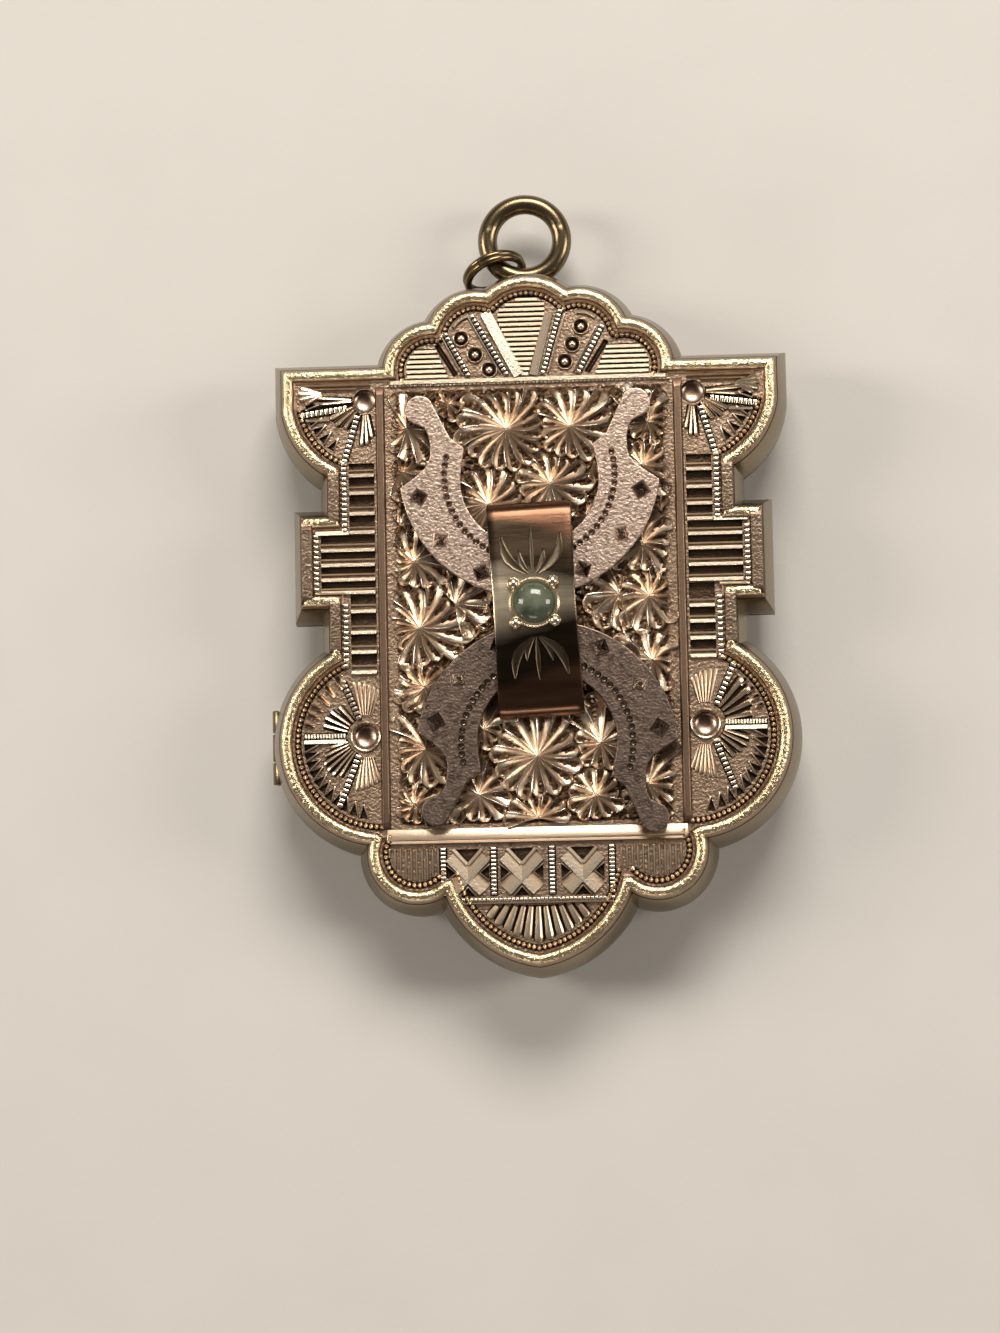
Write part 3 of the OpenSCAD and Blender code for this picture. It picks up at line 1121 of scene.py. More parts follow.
        # The end is rounded over most of its half width, and keeps a third of it at the very tip
        end = 0.8 * (widths[1] / length)
        into_end = np.clip((s - 1 + end) / end, 0, 1)
        rounding = np.sqrt(np.clip(1 - into_end ** 2, 0.12, 1))
        self.lay(die, hub, angle, (span[0] + length * s, t * half * rounding, height * h))

    def petal(
        self, hub: Point, angle: float, half_angle: float, reach: float, height: float, swirl: float,
        root: float = 0.05, scallop: float = 0.12,
    ) -> None:
        """Strike a gouged petal that fans out from a hub.

        Args:
            hub: The point that the petals share.
            angle: The petal's direction in radians.
            half_angle: Half the angle that it fills.
            reach: How far its end lies from the hub.
            height: The height of its raised edges.
            swirl: How far it is bent sideways, in radians at its end.
            root: How far its near end lies from the hub.
            scallop: How much its end is rounded.
        """
        s, t, h = self.dies.petal.points.T
        end = 1 - scallop * (1 - np.cos(0.5 * np.pi * np.clip(t, -1, 1)))
        radius = root + (reach * end - root) * s
        turn = angle + half_angle * t + swirl * s * s
        places = [hub[0] + radius * np.cos(turn), hub[1] + radius * np.sin(turn), self.level + height * h]
        self.add(self.dies.petal, np.stack(places, axis=1))

    def piece(self, name: str) -> Piece:
        """Make one named mesh of all that was struck."""
        return mesh_piece(name, np.concatenate(self.points), self.faces)


@dataclass
class Engraving:
    """One engraved area of the front plate: raised work, dark strips of painted shade under it and cuts into
    the plate.
    """

    dies: Dies
    outline: Outline
    # Dark strips of painted shade, laid under raised work
    ground: Strikes
    cuts: Strikes
    name: str = "engraving"
    level: float = PLATE_Z

    def __post_init__(self) -> None:
        """Start with no raised work."""
        self.raised = Strikes(self.dies, self.level)

    def edge_x(self, y: float, side: Side, grow: float) -> float:
        """Find where the outline crosses a level.

        Args:
            y: The level.
            side: Which side's crossing is wanted.
            grow: How far the outline is grown.

        Returns:
            The crossing's X.
        """
        angle = 0.0 if side is Side.RIGHT else math.pi
        return side.value * self.outline.reach((0, y), angle, grow)

    def settle(self, finish: Material) -> None:
        """Join the raised work, smooth it and let it ride on the front cover.

        Args:
            finish: Its finish.
        """
        piece = self.raised.piece(self.name)
        smooth(piece, 26)
        settle(piece, Body.FRONT, Slot.ENGRAVED, finish)


@dataclass
class FlowerPanel(Engraving):
    """The sunk panel of gouged flowers on stippled ground.

    A flower is its centre's X and Y, its radius and its count of petals.
    """

    name: str = "panel_flowers"
    level: float = PANEL_Z
    stipple_count: int = 3000
    grid_step: float = 0.13
    ridge: float = 0.34
    crowding: float = 1.32
    border: float = 0.3
    least_petal: float = 0.4
    ahead: float = 0.2
    hammering: float = 0.06
    flowers: list[tuple[float, float, float, int]] = field(default_factory=lambda: [
        (-1.1, 8.95, 2.25, 16), (2.1, 9.0, 2.1, 14), (-6.2, 9.1, 1.9, 11), (6.0, 9.1, 1.8, 11),
        (-6.5, 6.9, 1.5, 10), (5.7, 6.9, 1.9, 12), (1.05, 6.1, 2.0, 13), (-2.1, 5.1, 2.1, 13),
        (-6.6, 4.2, 1.3, 8), (6.6, 4.6, 1.3, 8), (-5.9, 2.3, 1.8, 12), (5.6, 2.9, 1.9, 12),
        (-5.7, -1.1, 2.2, 14), (5.9, 0.25, 1.9, 12), (4.4, 0.4, 1.5, 10), (-5.5, -4.1, 1.9, 12),
        (6.0, -3.0, 1.7, 10), (-5.5, -7.2, 2.1, 13), (-2.6, -6.3, 1.7, 10), (0.1, -7.7, 2.3, 15),
        (3.3, -7.1, 1.9, 11), (3.0, -9.7, 1.9, 11), (0.1, -10.8, 1.9, 12), (-2.9, -9.6, 1.9, 11),
        (-6.1, -10.0, 1.7, 10), (5.6, -9.2, 2.0, 12), (-3.6, 7.2, 1.5, 9), (3.3, 7.2, 1.4, 9),
        (-3.9, 0.1, 1.5, 10), (2.8, 4.4, 1.3, 9), (-0.3, 7.3, 1.0, 8), (-4.1, 10.3, 1.3, 9),
    ])

    def room(self, index: int, angle: float) -> float:
        """Find how far a petal may reach before it meets a neighbouring flower or the panel's edge.

        Args:
            index: The flower's number.
            angle: The petal's direction.

        Returns:
            The petal's reach.
        """
        x, y, radius, _ = self.flowers[index]
        radius *= self.crowding
        cos, sin = math.cos(angle), math.sin(angle)
        reach = radius
        for other, (ox, oy, other_radius, _) in enumerate(self.flowers):
            other_radius *= self.crowding
            gap = math.hypot(ox - x, oy - y)
            toward = ((ox - x) * cos + (oy - y) * sin) / gap if other != index else 0
            if toward > self.ahead and gap < radius + other_radius:
                plane = (gap * gap + radius * radius - other_radius * other_radius) / (2 * gap)
                reach = min(reach, plane / toward)
        room_x, room_y = PANEL_HALF_W - self.border, PANEL_HALF_H - self.border
        if abs(cos) > 1e-6:
            reach = min(reach, (math.copysign(room_x, cos) - x) / cos)
        if abs(sin) > 1e-6:
            reach = min(reach, (math.copysign(room_y, sin) - y) / sin)
        return reach

    def sink(self) -> None:
        """Sink the panel in the plate, a little wider and deeper than its ground."""
        top = PANEL_HALF_H + 0.02
        self.cuts.recess((0, -top), (0, top), 2 * (PANEL_HALF_W + 0.02), PLATE_Z - PANEL_Z + 0.03)

    def strike(self) -> None:
        """Strike every flower, then stipple what lies between them."""
        chance = np.random.default_rng(7)
        self.sink()
        for index, (x, y, _, count) in enumerate(self.flowers):
            start = chance.uniform(0, math.pi)
            swirl = chance.choice([-1, 1]) * chance.uniform(0.06, 0.22)
            for k in range(count):
                angle = start + 2 * math.pi * k / count
                reach = self.room(index, angle) * chance.uniform(0.98, 1.08)
                if reach > self.least_petal:
                    height = self.ridge + chance.uniform(-0.03, 0.0)
                    self.raised.petal((x, y), angle, math.pi / count, reach, height, swirl)
            self.raised.strike(self.dies.bead, (x, y), 0, (0.1, 0.1, 0.26))
        for _ in range(self.stipple_count):
            x = chance.uniform(-PANEL_HALF_W + 0.1, PANEL_HALF_W - 0.1)
            y = chance.uniform(-PANEL_HALF_H + 0.1, PANEL_HALF_H - 0.1)
            if all(math.hypot(x - fx, y - fy) > 0.95 * radius for fx, fy, radius, _ in self.flowers):
                grain = chance.uniform(0.05, 0.12) * np.array([1, 1.5, 2.4])
                self.raised.strike(self.dies.bead, (x, y), chance.uniform(0, 3), grain)

    def sheet(self, finish: Material) -> None:
        """Lay the panel's hammered ground, whose border reaches down into the plate.

        Args:
            finish: The dark patina.
        """
        columns = round(2 * PANEL_HALF_W / self.grid_step)
        rows = round(2 * PANEL_HALF_H / self.grid_step)
        bpy.ops.mesh.primitive_grid_add(x_subdivisions=columns, y_subdivisions=rows, size=2)
        piece = bpy.context.active_object
        piece.name = "panel_ground"
        chance = np.random.default_rng(11)
        for vertex in piece.data.vertices:
            x, y, _ = vertex.co
            at_border = max(abs(x), abs(y)) > 0.999
            rise = -self.hammering if at_border else chance.uniform(0.0, self.hammering)
            vertex.co = (x * PANEL_HALF_W, y * PANEL_HALF_H, PANEL_Z + 0.01 + rise)
        settle(piece, Body.FRONT, Slot.ENGRAVED, finish)


@dataclass
class Ladders(Engraving):
    """The rungs beside the panel with their bead columns, the strips that frame it and the bar under it."""

    name: str = "ladder_rungs"
    inner_x: float = 7.88
    step_outer: float = 9.2
    tab_outer: float = 10.68
    step_beads: float = 9.42
    tab_beads: float = 10.88
    depth: float = 0.2
    least_box: float = 0.2
    bar_y: float = -11.5
    bar_slope: float = 0.155
    left_step: tuple[Point, ...] = ((6.75, 7.02), (5.85, 6.15), (4.8, 5.12), (3.85, 4.1))
    left_tab: tuple[Point, ...] = ((2.95, 3.24), (2.2, 2.47), (1.45, 1.72), (0.8, 0.98))
    left_low: tuple[Point, ...] = ((-0.18, 0.14), (-1.25, -0.94), (-2.25, -1.95), (-3.27, -2.95))
    right_step: tuple[Point, ...] = ((6.62, 6.9), (5.72, 5.98), (4.87, 5.1), (4.1, 4.32))
    right_tab: tuple[Point, ...] = ((3.33, 3.58), (2.6, 2.84), (1.77, 2.03), (1.0, 1.22))
    right_low: tuple[Point, ...] = ((-0.3, -0.03), (-1.1, -0.86), (-1.95, -1.7), (-2.85, -2.57))

    def flight(self, side: Side, outer: float, top: float, rungs: Sequence[Point]) -> None:
        """Strike one flight of rungs, and sink the dark boxes over and between them.

        Args:
            side: The side of the panel.
            outer: The rungs' outer end.
            top: Where the first box starts.
            rungs: The level of each rung's thick lower line and thin upper line.
        """
        a, b = side.value * self.inner_x, side.value * outer
        for low, high in rungs:
            if top - high > self.least_box:
                middle = (top + high + 0.03) / 2
                self.cuts.recess((a, middle), (b, middle), top - high - 0.07, self.depth)
            self.raised.ledge(low, (a, b), 0.2, 0.2)
            self.raised.ledge(high, (a, b), 0.1, 0.15)
            self.raised.line((b, low), (b, high), 0.1, 0.17)
            self.raised.line((a, low), (a, high), 0.07, 0.14)
            top = low - 0.06

    def strike(self) -> None:
        """Strike both ladders and the columns of square beads along them."""
        flights = (
            (Side.LEFT, self.left_step, self.left_tab, self.left_low),
            (Side.RIGHT, self.right_step, self.right_tab, self.right_low),
        )
        for side, step, tab, low in flights:
            s = side.value
            step_foot = step[-1][0]
            self.flight(side, self.step_outer, 7.42, step)
            self.flight(side, self.tab_outer, step_foot - 0.1, tab)
            self.flight(side, self.step_outer, tab[-1][0] - 0.1, low)
            columns = (
                (self.step_beads, 7.35, step_foot + 0.1), (self.step_beads, 0.1, -2.95),
                (self.tab_beads, 3.65, 0.95),
            )
            for x, top, foot in columns:
                self.raised.blocks([(s * x, top), (s * x, foot)], 0.27, 0.28, 0.21)
            ends = (s * self.step_outer, s * (self.tab_beads + 0.05))
            self.raised.ledge(step_foot - 0.02, ends, 0.24, 0.22)
            ends = (s * self.step_beads, s * (self.tab_beads + 0.1))
            self.raised.ledge(0.78, ends, 0.18, 0.22)

    def bands(self, finish: Material) -> None:
        """Model the flat granular bands that top the rim at the steps and tabs.

        Args:
            finish: Their matte finish.
        """
        bands = Strikes(self.dies, RIM_TOP_Z)
        for side in Side:
            for x, top, foot in ((STEP_X, 7.0, 4.3), (TAB_X, 4.55, 0.2), (STEP_X, 0.45, -2.3)):
                x = side.value * (x - 0.1)
                bands.bar(self.dies.block, (x, top), (x, foot), (0.6, 0.1), -0.065)
        settle(bands.piece("matte_bands"), Body.FRONT, Slot.ENGRAVED, finish)

    def strips(self, finish: Material) -> None:
        """Model the two smooth strips beside the panel.

        Args:
            finish: Their brown satin finish.
        """
        strips = Strikes(self.dies, PLATE_Z)
        for side in Side:
            x = side.value * STRIP_X
            strips.line((x, 11.35), (x, -11.3), STRIP_W, 0.13)
            strips.line((x - 0.12, 11.3), (x - 0.12, -11.25), 0.06, 0.17)
        settle(strips.piece("side_strips"), Body.FRONT, Slot.ENGRAVED, finish)

    def bar(self, finish: Material) -> None:
        """Model the polished bar under the panel, with the brighter line along its foot.

        Args:
            finish: Its bright finish.
        """
        bpy.ops.mesh.primitive_cube_add(
            size=1, location=(0.02, self.bar_y, PLATE_Z + 0.09), scale=(15.1, 0.58, 0.28),
        )
        piece = baked()
        for vertex in piece.data.vertices:
            if vertex.co.z > PLATE_Z and vertex.co.y > self.bar_y:
                vertex.co.z -= self.bar_slope
        apply_modifier(piece, "BEVEL", width=0.06, segments=3)
        foot = Strikes(self.dies, PLATE_Z)
        foot.ledge(-11.88, (-7.5, 7.5), 0.2, 0.24)
        piece = join("polished_bar", [piece, foot.piece("bar_foot")])
        smooth(piece)
        settle(piece, Body.FRONT, Slot.ENGRAVED, finish)


@dataclass
class LobeFans(Engraving):
    """The four lobes: a bowl, rays and spokes around it, and leaves and notches along the rim."""

    name: str = "lobe_fans"
    top_hub: Point = (8.32, 10.6)
    left_hub: Point = (8.52, -6.5)
    right_hub: Point = (8.55, -6.25)
    bowl_r: float = 0.6
    fine_h: float = 0.1
    leaf_grow: float = -0.92
    notch_grow: float = -1.0
    notch_depth: float = 0.17

    def __post_init__(self) -> None:
        """Start with no raised work and no linings."""
        super().__post_init__()
        self.linings = Strikes(self.dies, PLATE_Z)

    def line_bowls(self, finish: Material) -> None:
        """Lay the bright linings in the bowls.

        Args:
            finish: Their polished finish.
        """
        piece = self.linings.piece("bowl_linings")
        smooth(piece, 60)
        settle(piece, Body.FRONT, Slot.ENGRAVED, finish)

    def bowl(self, hub: Point) -> None:
        """Sink a round bowl in the plate, and line it."""
        self.cuts.strike(self.dies.bowl, hub, 0, (self.bowl_r, self.bowl_r, 0.38), 0.04)
        lining_r = self.bowl_r - 0.01
        self.linings.strike(self.dies.dish, hub, 0, (lining_r, lining_r, 0.27), 0.02)

    @staticmethod
    def outward(degrees: float, s: int) -> float:
        """Turn degrees from a side's outward level into radians from +X."""
        return math.radians(degrees if s > 0 else 180 - degrees)

    def fan(
        self, hub: Point, s: int, rays: Sequence[Point], near: float, widths: Point, height: float,
    ) -> None:
        """Strike rays around a hub, with dark strips of painted shade under all but the finest.

        Args:
            hub: The hub's place.
            s: The side, as a sign.
            rays: Each ray's direction in degrees from the outward level, and its reach.
            near: Where they start.
            widths: Half their width at both ends.
            height: Their height.
        """
        for degrees, reach in rays:
            angle = self.outward(degrees, s)
            self.raised.blade(self.dies.ray, hub, angle, (near, reach), widths, height)
            if height > self.fine_h:
                start, stop = polar(hub, angle, near), polar(hub, angle, reach - 0.05)
                self.ground.channel(start, stop, 2.9 * widths[1])

    def rim_point(self, hub: Point, degrees: float, s: int, grow: float) -> tuple[Point, float]:
        """Find a point by the rim.

        Args:
            hub: The lobe's hub.
            degrees: The direction from the outward level.
            s: The side, as a sign.
            grow: How far the outline is grown there.

        Returns:
            The point, and the direction in radians.
        """
        angle = self.outward(degrees, s)
        return polar(hub, angle, self.outline.reach(hub, angle, grow)), angle

    def notches(self, hub: Point, s: int, directions: Sequence[float], size: Point) -> None:
        """Sink dark notches along the rim, each with a bright edge beside it.

        Args:
            hub: The lobe's hub.
            s: The side, as a sign.
            directions: The notches' directions in degrees.
            size: A notch's length and width.
        """
        for degrees in directions:
            out, angle = self.rim_point(hub, degrees, s, self.notch_grow)
            tip = polar(out, angle, -size[0])
            self.cuts.strike(self.dies.notch, tip, angle, (*size, self.notch_depth), -0.04)
            side = 0.58 * size[1] * (1 if math.cos(angle) > 0 else -1)
            corner = (out[0] + side * math.sin(angle), out[1] - side * math.cos(angle))
            self.raised.line(tip, corner, 0.1, 0.14)

    def leaves(self, hub: Point, s: int, leaves: Sequence[tuple[float, float, float]]) -> None:
        """Strike gouged leaves along the rim.

        Args:
            hub: The lobe's hub.
            s: The side, as a sign.
            leaves: Each leaf's direction in degrees, its length and half its width.
        """
        for degrees, length, half in leaves:
            out, angle = self.rim_point(hub, degrees, s, self.leaf_grow)
            foot = polar(out, angle, -length)
            self.raised.blade(self.dies.petal, foot, angle, (0, length), (0.4 * half, half), 0.17)

    def spoke(self, s: int, start: Point, stop: Point, pitch: float = 0.25) -> None:
        """Strike a row of square beads on a dark strip of painted shade.

        Args:
            s: The side, as a sign.
            start: Its start, as on the right side.
            stop: Its end, as on the right side.
            pitch: The distance between beads.
        """
        route = [(s * start[0], start[1]), (s * stop[0], stop[1])]
        self.ground.channel(*route, 0.4)
        self.raised.blocks(route, pitch, 0.32, 0.22)

    def top(self, s: int) -> None:
        """Strike one upper lobe.

        Args:
            s: The side, as a sign.
        """
        hub = (s * self.top_hub[0], self.top_hub[1])
        self.bowl(hub)
        self.fan(hub, s, ((4.5, 2.5), (-3.5, 2.35)), 0.62, (0.07, 0.12), 0.2)
        self.ground.channel((s * 8.9, 10.42), (s * 11.5, 10.12), 0.26, 0.03)
        for y, x0, width in ((11.42, 8.0, 0.12), (11.24, 8.7, 0.1)):
            self.raised.ledge(y, (s * x0, s * 11.45), width, 0.2)
        star = (s * 10.5, 10.98)
        for degrees, reach, half in ((18, 1.15, 0.16), (4, 1.25, 0.17), (-12, 1.2, 0.17), (-30, 1.0, 0.16)):
            self.raised.blade(self.dies.ray, star, self.outward(degrees, s), (0, reach), (0.12, half), 0.24)
        self.fan(hub, s, ((-27, 2.0), (-40, 1.95), (-54, 1.75)), 0.66, (0.07, 0.15), 0.2)
        self.fan(hub, s, ((-33.5, 1.9), (-47, 1.8)), 0.7, (0.03, 0.04), 0.16)
        self.fan(hub, s, ((-86, 2.35), (-93, 2.3), (-101, 1.95)), 0.7, (0.06, 0.12), 0.17)
        self.spoke(s, (9.3, 10.2), (11.45, 9.9))
        self.raised.line((s * 10.1, 9.66), (s * 11.3, 9.62), 0.2, 0.18)
        self.spoke(s, (8.72, 9.72), (9.38, 7.5), 0.26)
        self.notches(hub, s, (-3.5, -20.5, -31, -42, -54), (0.72, 0.4))

    def low(self, side: Side) -> None:
        """Strike one lower lobe; the two sides were cut by hand and differ.

        Args:
            side: The side.
        """
        s = side.value
        x, y = self.left_hub if side is Side.LEFT else self.right_hub
        hub = (s * x, y)
        self.bowl(hub)
        self.raised.strike(self.dies.rim, hub, 0, (0.8, 0.8, 0.17))
        ring = [polar(hub, angle, 0.7) for angle in np.linspace(0, 2 * math.pi, 33)]
        self.raised.beads(ring, 0.2, 0.07, 0.13)
        if side is Side.LEFT:
            upper = ((49, 2.05), (36, 2.2), (25.5, 2.3), (15.5, 2.25))
            lower = ((-17, 1.9), (-25, 2.3), (-33, 2.55), (-41, 2.6), (-49, 2.6), (-56.5, 2.45))
            self.fan(hub, s, upper, 0.92, (0.07, 0.13), 0.2)
            self.fan(hub, s, lower, 0.92, (0.06, 0.12), 0.2)
            spokes = ((8.85, -5.55), (9.62, -3.75), (8.9, -7.55), (9.85, -9.95))
            leaves = (
                (66, 0.75, 0.3), (53, 0.75, 0.2), (42, 0.85, 0.17), (31, 0.7, 0.09), (22, 0.65, 0.09),
                (12, 0.55, 0.08),
            )
        else:
            self.fan(hub, s, ((50, 2.95), (38, 2.85), (25, 2.55), (12, 2.4)), 1.0, (0.08, 0.19), 0.2)
            self.fan(hub, s, ((-19, 2.35), (-28, 2.4), (-38, 2.3), (-50, 2.2)), 0.92, (0.07, 0.14), 0.2)
            spokes = ((9.15, -5.25), (10.0, -3.35), (9.05, -7.15), (9.95, -9.5))
            leaves = ((62, 0.6, 0.2), (46, 0.45, 0.16), (35, 0.5, 0.15), (26, 0.5, 0.15), (17, 0.45, 0.12))
        self.spoke(s, *spokes[:2])
        self.spoke(s, *spokes[2:])
        self.leaves(hub, s, leaves)
        studs = [(s * 9.6, y + 0.03), (s * 11.55, y + 0.03)]
        self.raised.row(self.dies.block, studs, 0.15, (0.09, 0.27, 0.15))
        self.ground.channel((s * 9.5, y + 0.03), (s * 11.65, y + 0.03), 0.42, 0.03)
        self.raised.ledge(y - 0.24, (s * 9.5, s * 11.65), 0.22, 0.21)
        fine_up = [(78 + 5.5 * k, 2.85 - 0.08 * k) for k in range(6)]
        fine_down = [(-80 - 5.5 * k, 2.8 - 0.08 * k) for k in range(6)]
        self.fan(hub, s, fine_up + fine_down, 1.0, (0.04, 0.12), self.fine_h)
        outer = [-9 - 8.5 * k for k in range(5)] + [-50 - 7.5 * k for k in range(6)]
        self.notches(hub, s, outer, (0.74, 0.44))

    def strike(self) -> None:
        """Strike all four lobes."""
        for side in Side:
            self.top(side.value)
            self.low(side)


@dataclass
class Crest(Engraving):
    """The three scallops over the panel: hatched wedges, slanted bars, ringed dots and rows of beads."""

    name: str = "crest_relief"
    foot_y: float = 11.62
    pitch: float = 0.255
    least_hatch: float = 0.3

    def dot(self, place: Point) -> None:
        """Strike a bead in a sunk ring with a bright outer edge.

        Args:
            place: Its middle.
        """
        self.raised.strike(self.dies.rim, place, 0, (0.44, 0.44, 0.13))
        self.cuts.strike(self.dies.bowl, place, 0, (0.35, 0.35, 0.18), 0.02)
        self.raised.strike(self.dies.bead, place, 0, (0.2, 0.2, 0.19))

    def hatch(self, left: Callable[[float], float], right: Callable[[float], float], top: float) -> None:
        """Hatch the space between two slanted edges.

        Args:
            left: The left edge's X at a height over the foot.
            right: The right edge's X at a height over the foot.
            top: The highest level.
        """
        for y in np.arange(self.foot_y + 0.12, top, self.pitch):
            x0 = max(left(y - self.foot_y), self.edge_x(y, Side.LEFT, -RIM_INSET))
            x1 = min(right(y - self.foot_y), self.edge_x(y, Side.RIGHT, -RIM_INSET))
            if x1 - x0 > self.least_hatch:
                self.raised.ledge(y, (x0, x1), 0.19, 0.17)
                middle = y + self.pitch / 2
                self.cuts.cut((x0, middle), (x1, middle), 0.09, 0.16)

    def strike(self) -> None:
        """Strike the crest and the divider under it."""
        foot = self.foot_y
        for left, right, top in (
            (lambda up: max(-1.5, -0.25 - 0.44 * up), lambda up: min(0.95, 0.3 * up), 16.0),
            (lambda up: -9.0, lambda up: -3.98 - 0.43 * up, 13.6),
            (lambda up: 3.35 + 0.46 * up, lambda up: 9.0, 13.6),
        ):
            self.hatch(left, right, top)
        self.raised.bar(self.dies.ledge, (-2.12, 15.0), (-0.42, foot), (0.62, 0.24))
        self.raised.bar(self.dies.ledge, (0.28, foot), (1.12, 14.85), (0.5, 0.18))
        self.cuts.cut((-4.62, 13.4), (-3.62, foot + 0.1), 0.34, 0.18)
        self.cuts.cut((4.05, 13.4), (2.98, foot + 0.1), 0.34, 0.18)
        for start, foot_x, line in (
            ((-4.15, 13.85), -3.05, (-4.42, 13.95)), ((-2.78, 14.75), -1.1, (-3.05, 14.9)),
            ((1.7, 14.9), 0.78, (1.98, 14.85)), ((3.8, 14.05), 2.6, (3.52, 14.1)),
        ):
            stop = (foot_x, foot + 0.15)
            self.ground.channel(start, stop, 0.34)
            self.raised.blocks([start, stop], 0.24, 0.26, 0.19)
            self.raised.line(line, (foot_x + (line[0] - start[0]), stop[1]), 0.09, 0.17)
        for place in ((-3.35, 13.65), (-2.65, 12.8), (-1.95, 12.0), (2.75, 14.1), (2.3, 13.2), (1.9, 12.32)):
            self.dot(place)
        for centre, start, stop in (((-2.62, 13.55), 148, 104), ((2.62, 13.55), 92, 48)):
            arc = [polar(centre, turn, 1.32) for turn in np.radians(np.linspace(start, stop, 6))]
            for a, b in zip(arc, arc[1:]):
                self.raised.line(a, b, 0.24, 0.14)
        self.raised.ledge(11.46, (-7.2, 7.2), 0.24, 0.22)
        self.raised.blocks([(-7.1, 11.29), (7.1, 11.29)], 0.2, 0.1, 0.13)


@dataclass
class BaseRow(Engraving):
    """The row under the bar: crosses of broad leaves between bead columns, with stripes at both ends."""

    name: str = "base_row"
    top_y: float = -12.2
    foot_y: float = -14.75
    crosses: tuple[float, ...] = (-3.5, -0.8, 2.25)
    columns: tuple[float, ...] = (-4.72, -2.2, 0.72, 3.72)
    stripe_pitch: float = 0.27

    def cross(self, x: float) -> None:
        """Strike one cross: four dark notches with bright edges leave broad leaves between them.

        Args:
            x: The cross's centre.
        """
        y = (self.top_y + self.foot_y) / 2
        for quarter, far, length, width in (
            (0, 1.08, 0.5, 0.75), (1, 1.2, 0.8, 1.35), (2, 1.08, 0.5, 0.75), (3, 1.2, 0.5, 0.8),
        ):
            angle = quarter * math.pi / 2
            tip = polar((x, y), angle, far - length)
            self.cuts.strike(self.dies.notch, tip, angle, (length, width, 0.15), -0.04)
            cos, sin = math.cos(angle), math.sin(angle)
            for edge in (-1, 1):
                across = edge * 0.54 * width
                out = (tip[0] + length * cos - across * sin, tip[1] + length * sin + across * cos)
                if quarter == 1:
                    ends = (tip, out) if edge < 0 else (out, tip)
                    self.raised.bar(self.dies.ledge, *ends, (0.18, 0.17))
                else:
                    self.raised.line(tip, out, 0.08, 0.12)
        for lean in (-0.9, 0.9):
            start, stop = (x - 0.86, y - lean), (x + 0.86, y + lean)
            self.raised.bar(self.dies.ledge, start, stop, (0.86, 0.3), -0.12)

    def stripe_foot(self, x: float) -> float:
        """Find how low a stripe at a distance from the middle reaches, over the small lobe's edge."""
        if x < 5.0:
            return -13.3 - 0.5 * (x - 4.2)
        return max(-12.45 - math.sqrt(max(0.0, 1.42 ** 2 - (x - 6.0) ** 2)), -13.85)

    def stripes(self, side: Side, start: float, count: int) -> None:
        """Strike the upright stripes at one end, each with a bead on top.

        Args:
            side: The end.
            start: The first stripe's distance from the middle.
            count: How many there may be.
        """
        for k in range(count):
            x = start + self.stripe_pitch * k
            low = self.stripe_foot(x)
            if low < self.top_y - 0.4:
                x *= side.value
                self.raised.line((x, self.top_y), (x, low), 0.15, 0.13)
                self.raised.strike(self.dies.bead, (x, self.top_y - 0.08), 0, (0.08, 0.08, 0.22))

    def strike(self) -> None:
        """Strike the whole row."""
        for x in self.crosses:
            self.cross(x)
        for x in self.columns:
            self.ground.channel((x, self.top_y), (x, self.foot_y + 0.1), 0.42)
            self.raised.blocks([(x, self.top_y - 0.1), (x, self.foot_y + 0.22)], 0.2, 0.3, 0.17)
        self.stripes(Side.LEFT, 4.98, 12)
        self.stripes(Side.RIGHT, 4.2, 14)
        self.raised.line((-3.9, self.foot_y - 0.26), (3.9, self.foot_y - 0.26), 0.12, 0.19)
        self.raised.blocks([(-3.95, self.foot_y - 0.08), (3.95, self.foot_y - 0.08)], 0.21, 0.13, 0.15)


@dataclass
class Pendant(Engraving):
    """The pendant tip: a fan of rays that opens downwards."""

    name: str = "pendant_rays"
    hub: Point = (0.0, -12.4)
    top_y: float = -15.15
    count: int = 17
    spread: float = 1.02
    least_ray: float = 0.35

    def strike(self) -> None:
        """Strike the rays from the row above to the rim."""
        for k in range(self.count):
            angle = -math.pi / 2 + self.spread * (2 * k / (self.count - 1) - 1)
            start = (self.hub[1] - self.top_y) / -math.sin(angle)
            reach = self.outline.reach(self.hub, angle, -RIM_INSET)
            if reach - start > self.least_ray:
                widths = (0.046 * start, 0.059 * reach)
                self.raised.blade(self.dies.ray, self.hub, angle, (start, reach), widths, 0.12)
                near, far = polar(self.hub, angle, start), polar(self.hub, angle, reach - 0.1)
                self.ground.channel(near, far, 0.13 * reach)


@dataclass
class Milgrain(Engraving):
    """The row of fine beads that follows the inside of the rim."""

    name: str = "milgrain"
    grow: float = -0.7
    pitch: float = 0.27
    bead_r: float = 0.125
    bead_h: float = 0.3
    longest_step: float = 0.5

    def end_run(self, run: Sequence[Point]) -> None:
        """Strike the beads of one curved run, if it has any length."""
        if len(run) > 1:
            self.raised.beads(run, self.pitch, self.bead_r, self.bead_h)

    def strike(self) -> None:
        """Strike the beads all around, but for the straight edges."""
        ring = self.outline.ring(self.grow, 0)[:, :2].tolist()
        run: list[Point] = []
        for start, stop in zip(ring, ring[1:] + ring[:1]):
            if math.dist(start, stop) > self.longest_step:
                self.end_run(run)
                run = []
                continue
            run = run or [start]
            run.append(stop)
            # A dark strip of painted shade under the beads, just inside the rim
            self.ground.channel(*run[-2:], 0.34, 0.012)
        self.end_run(run)


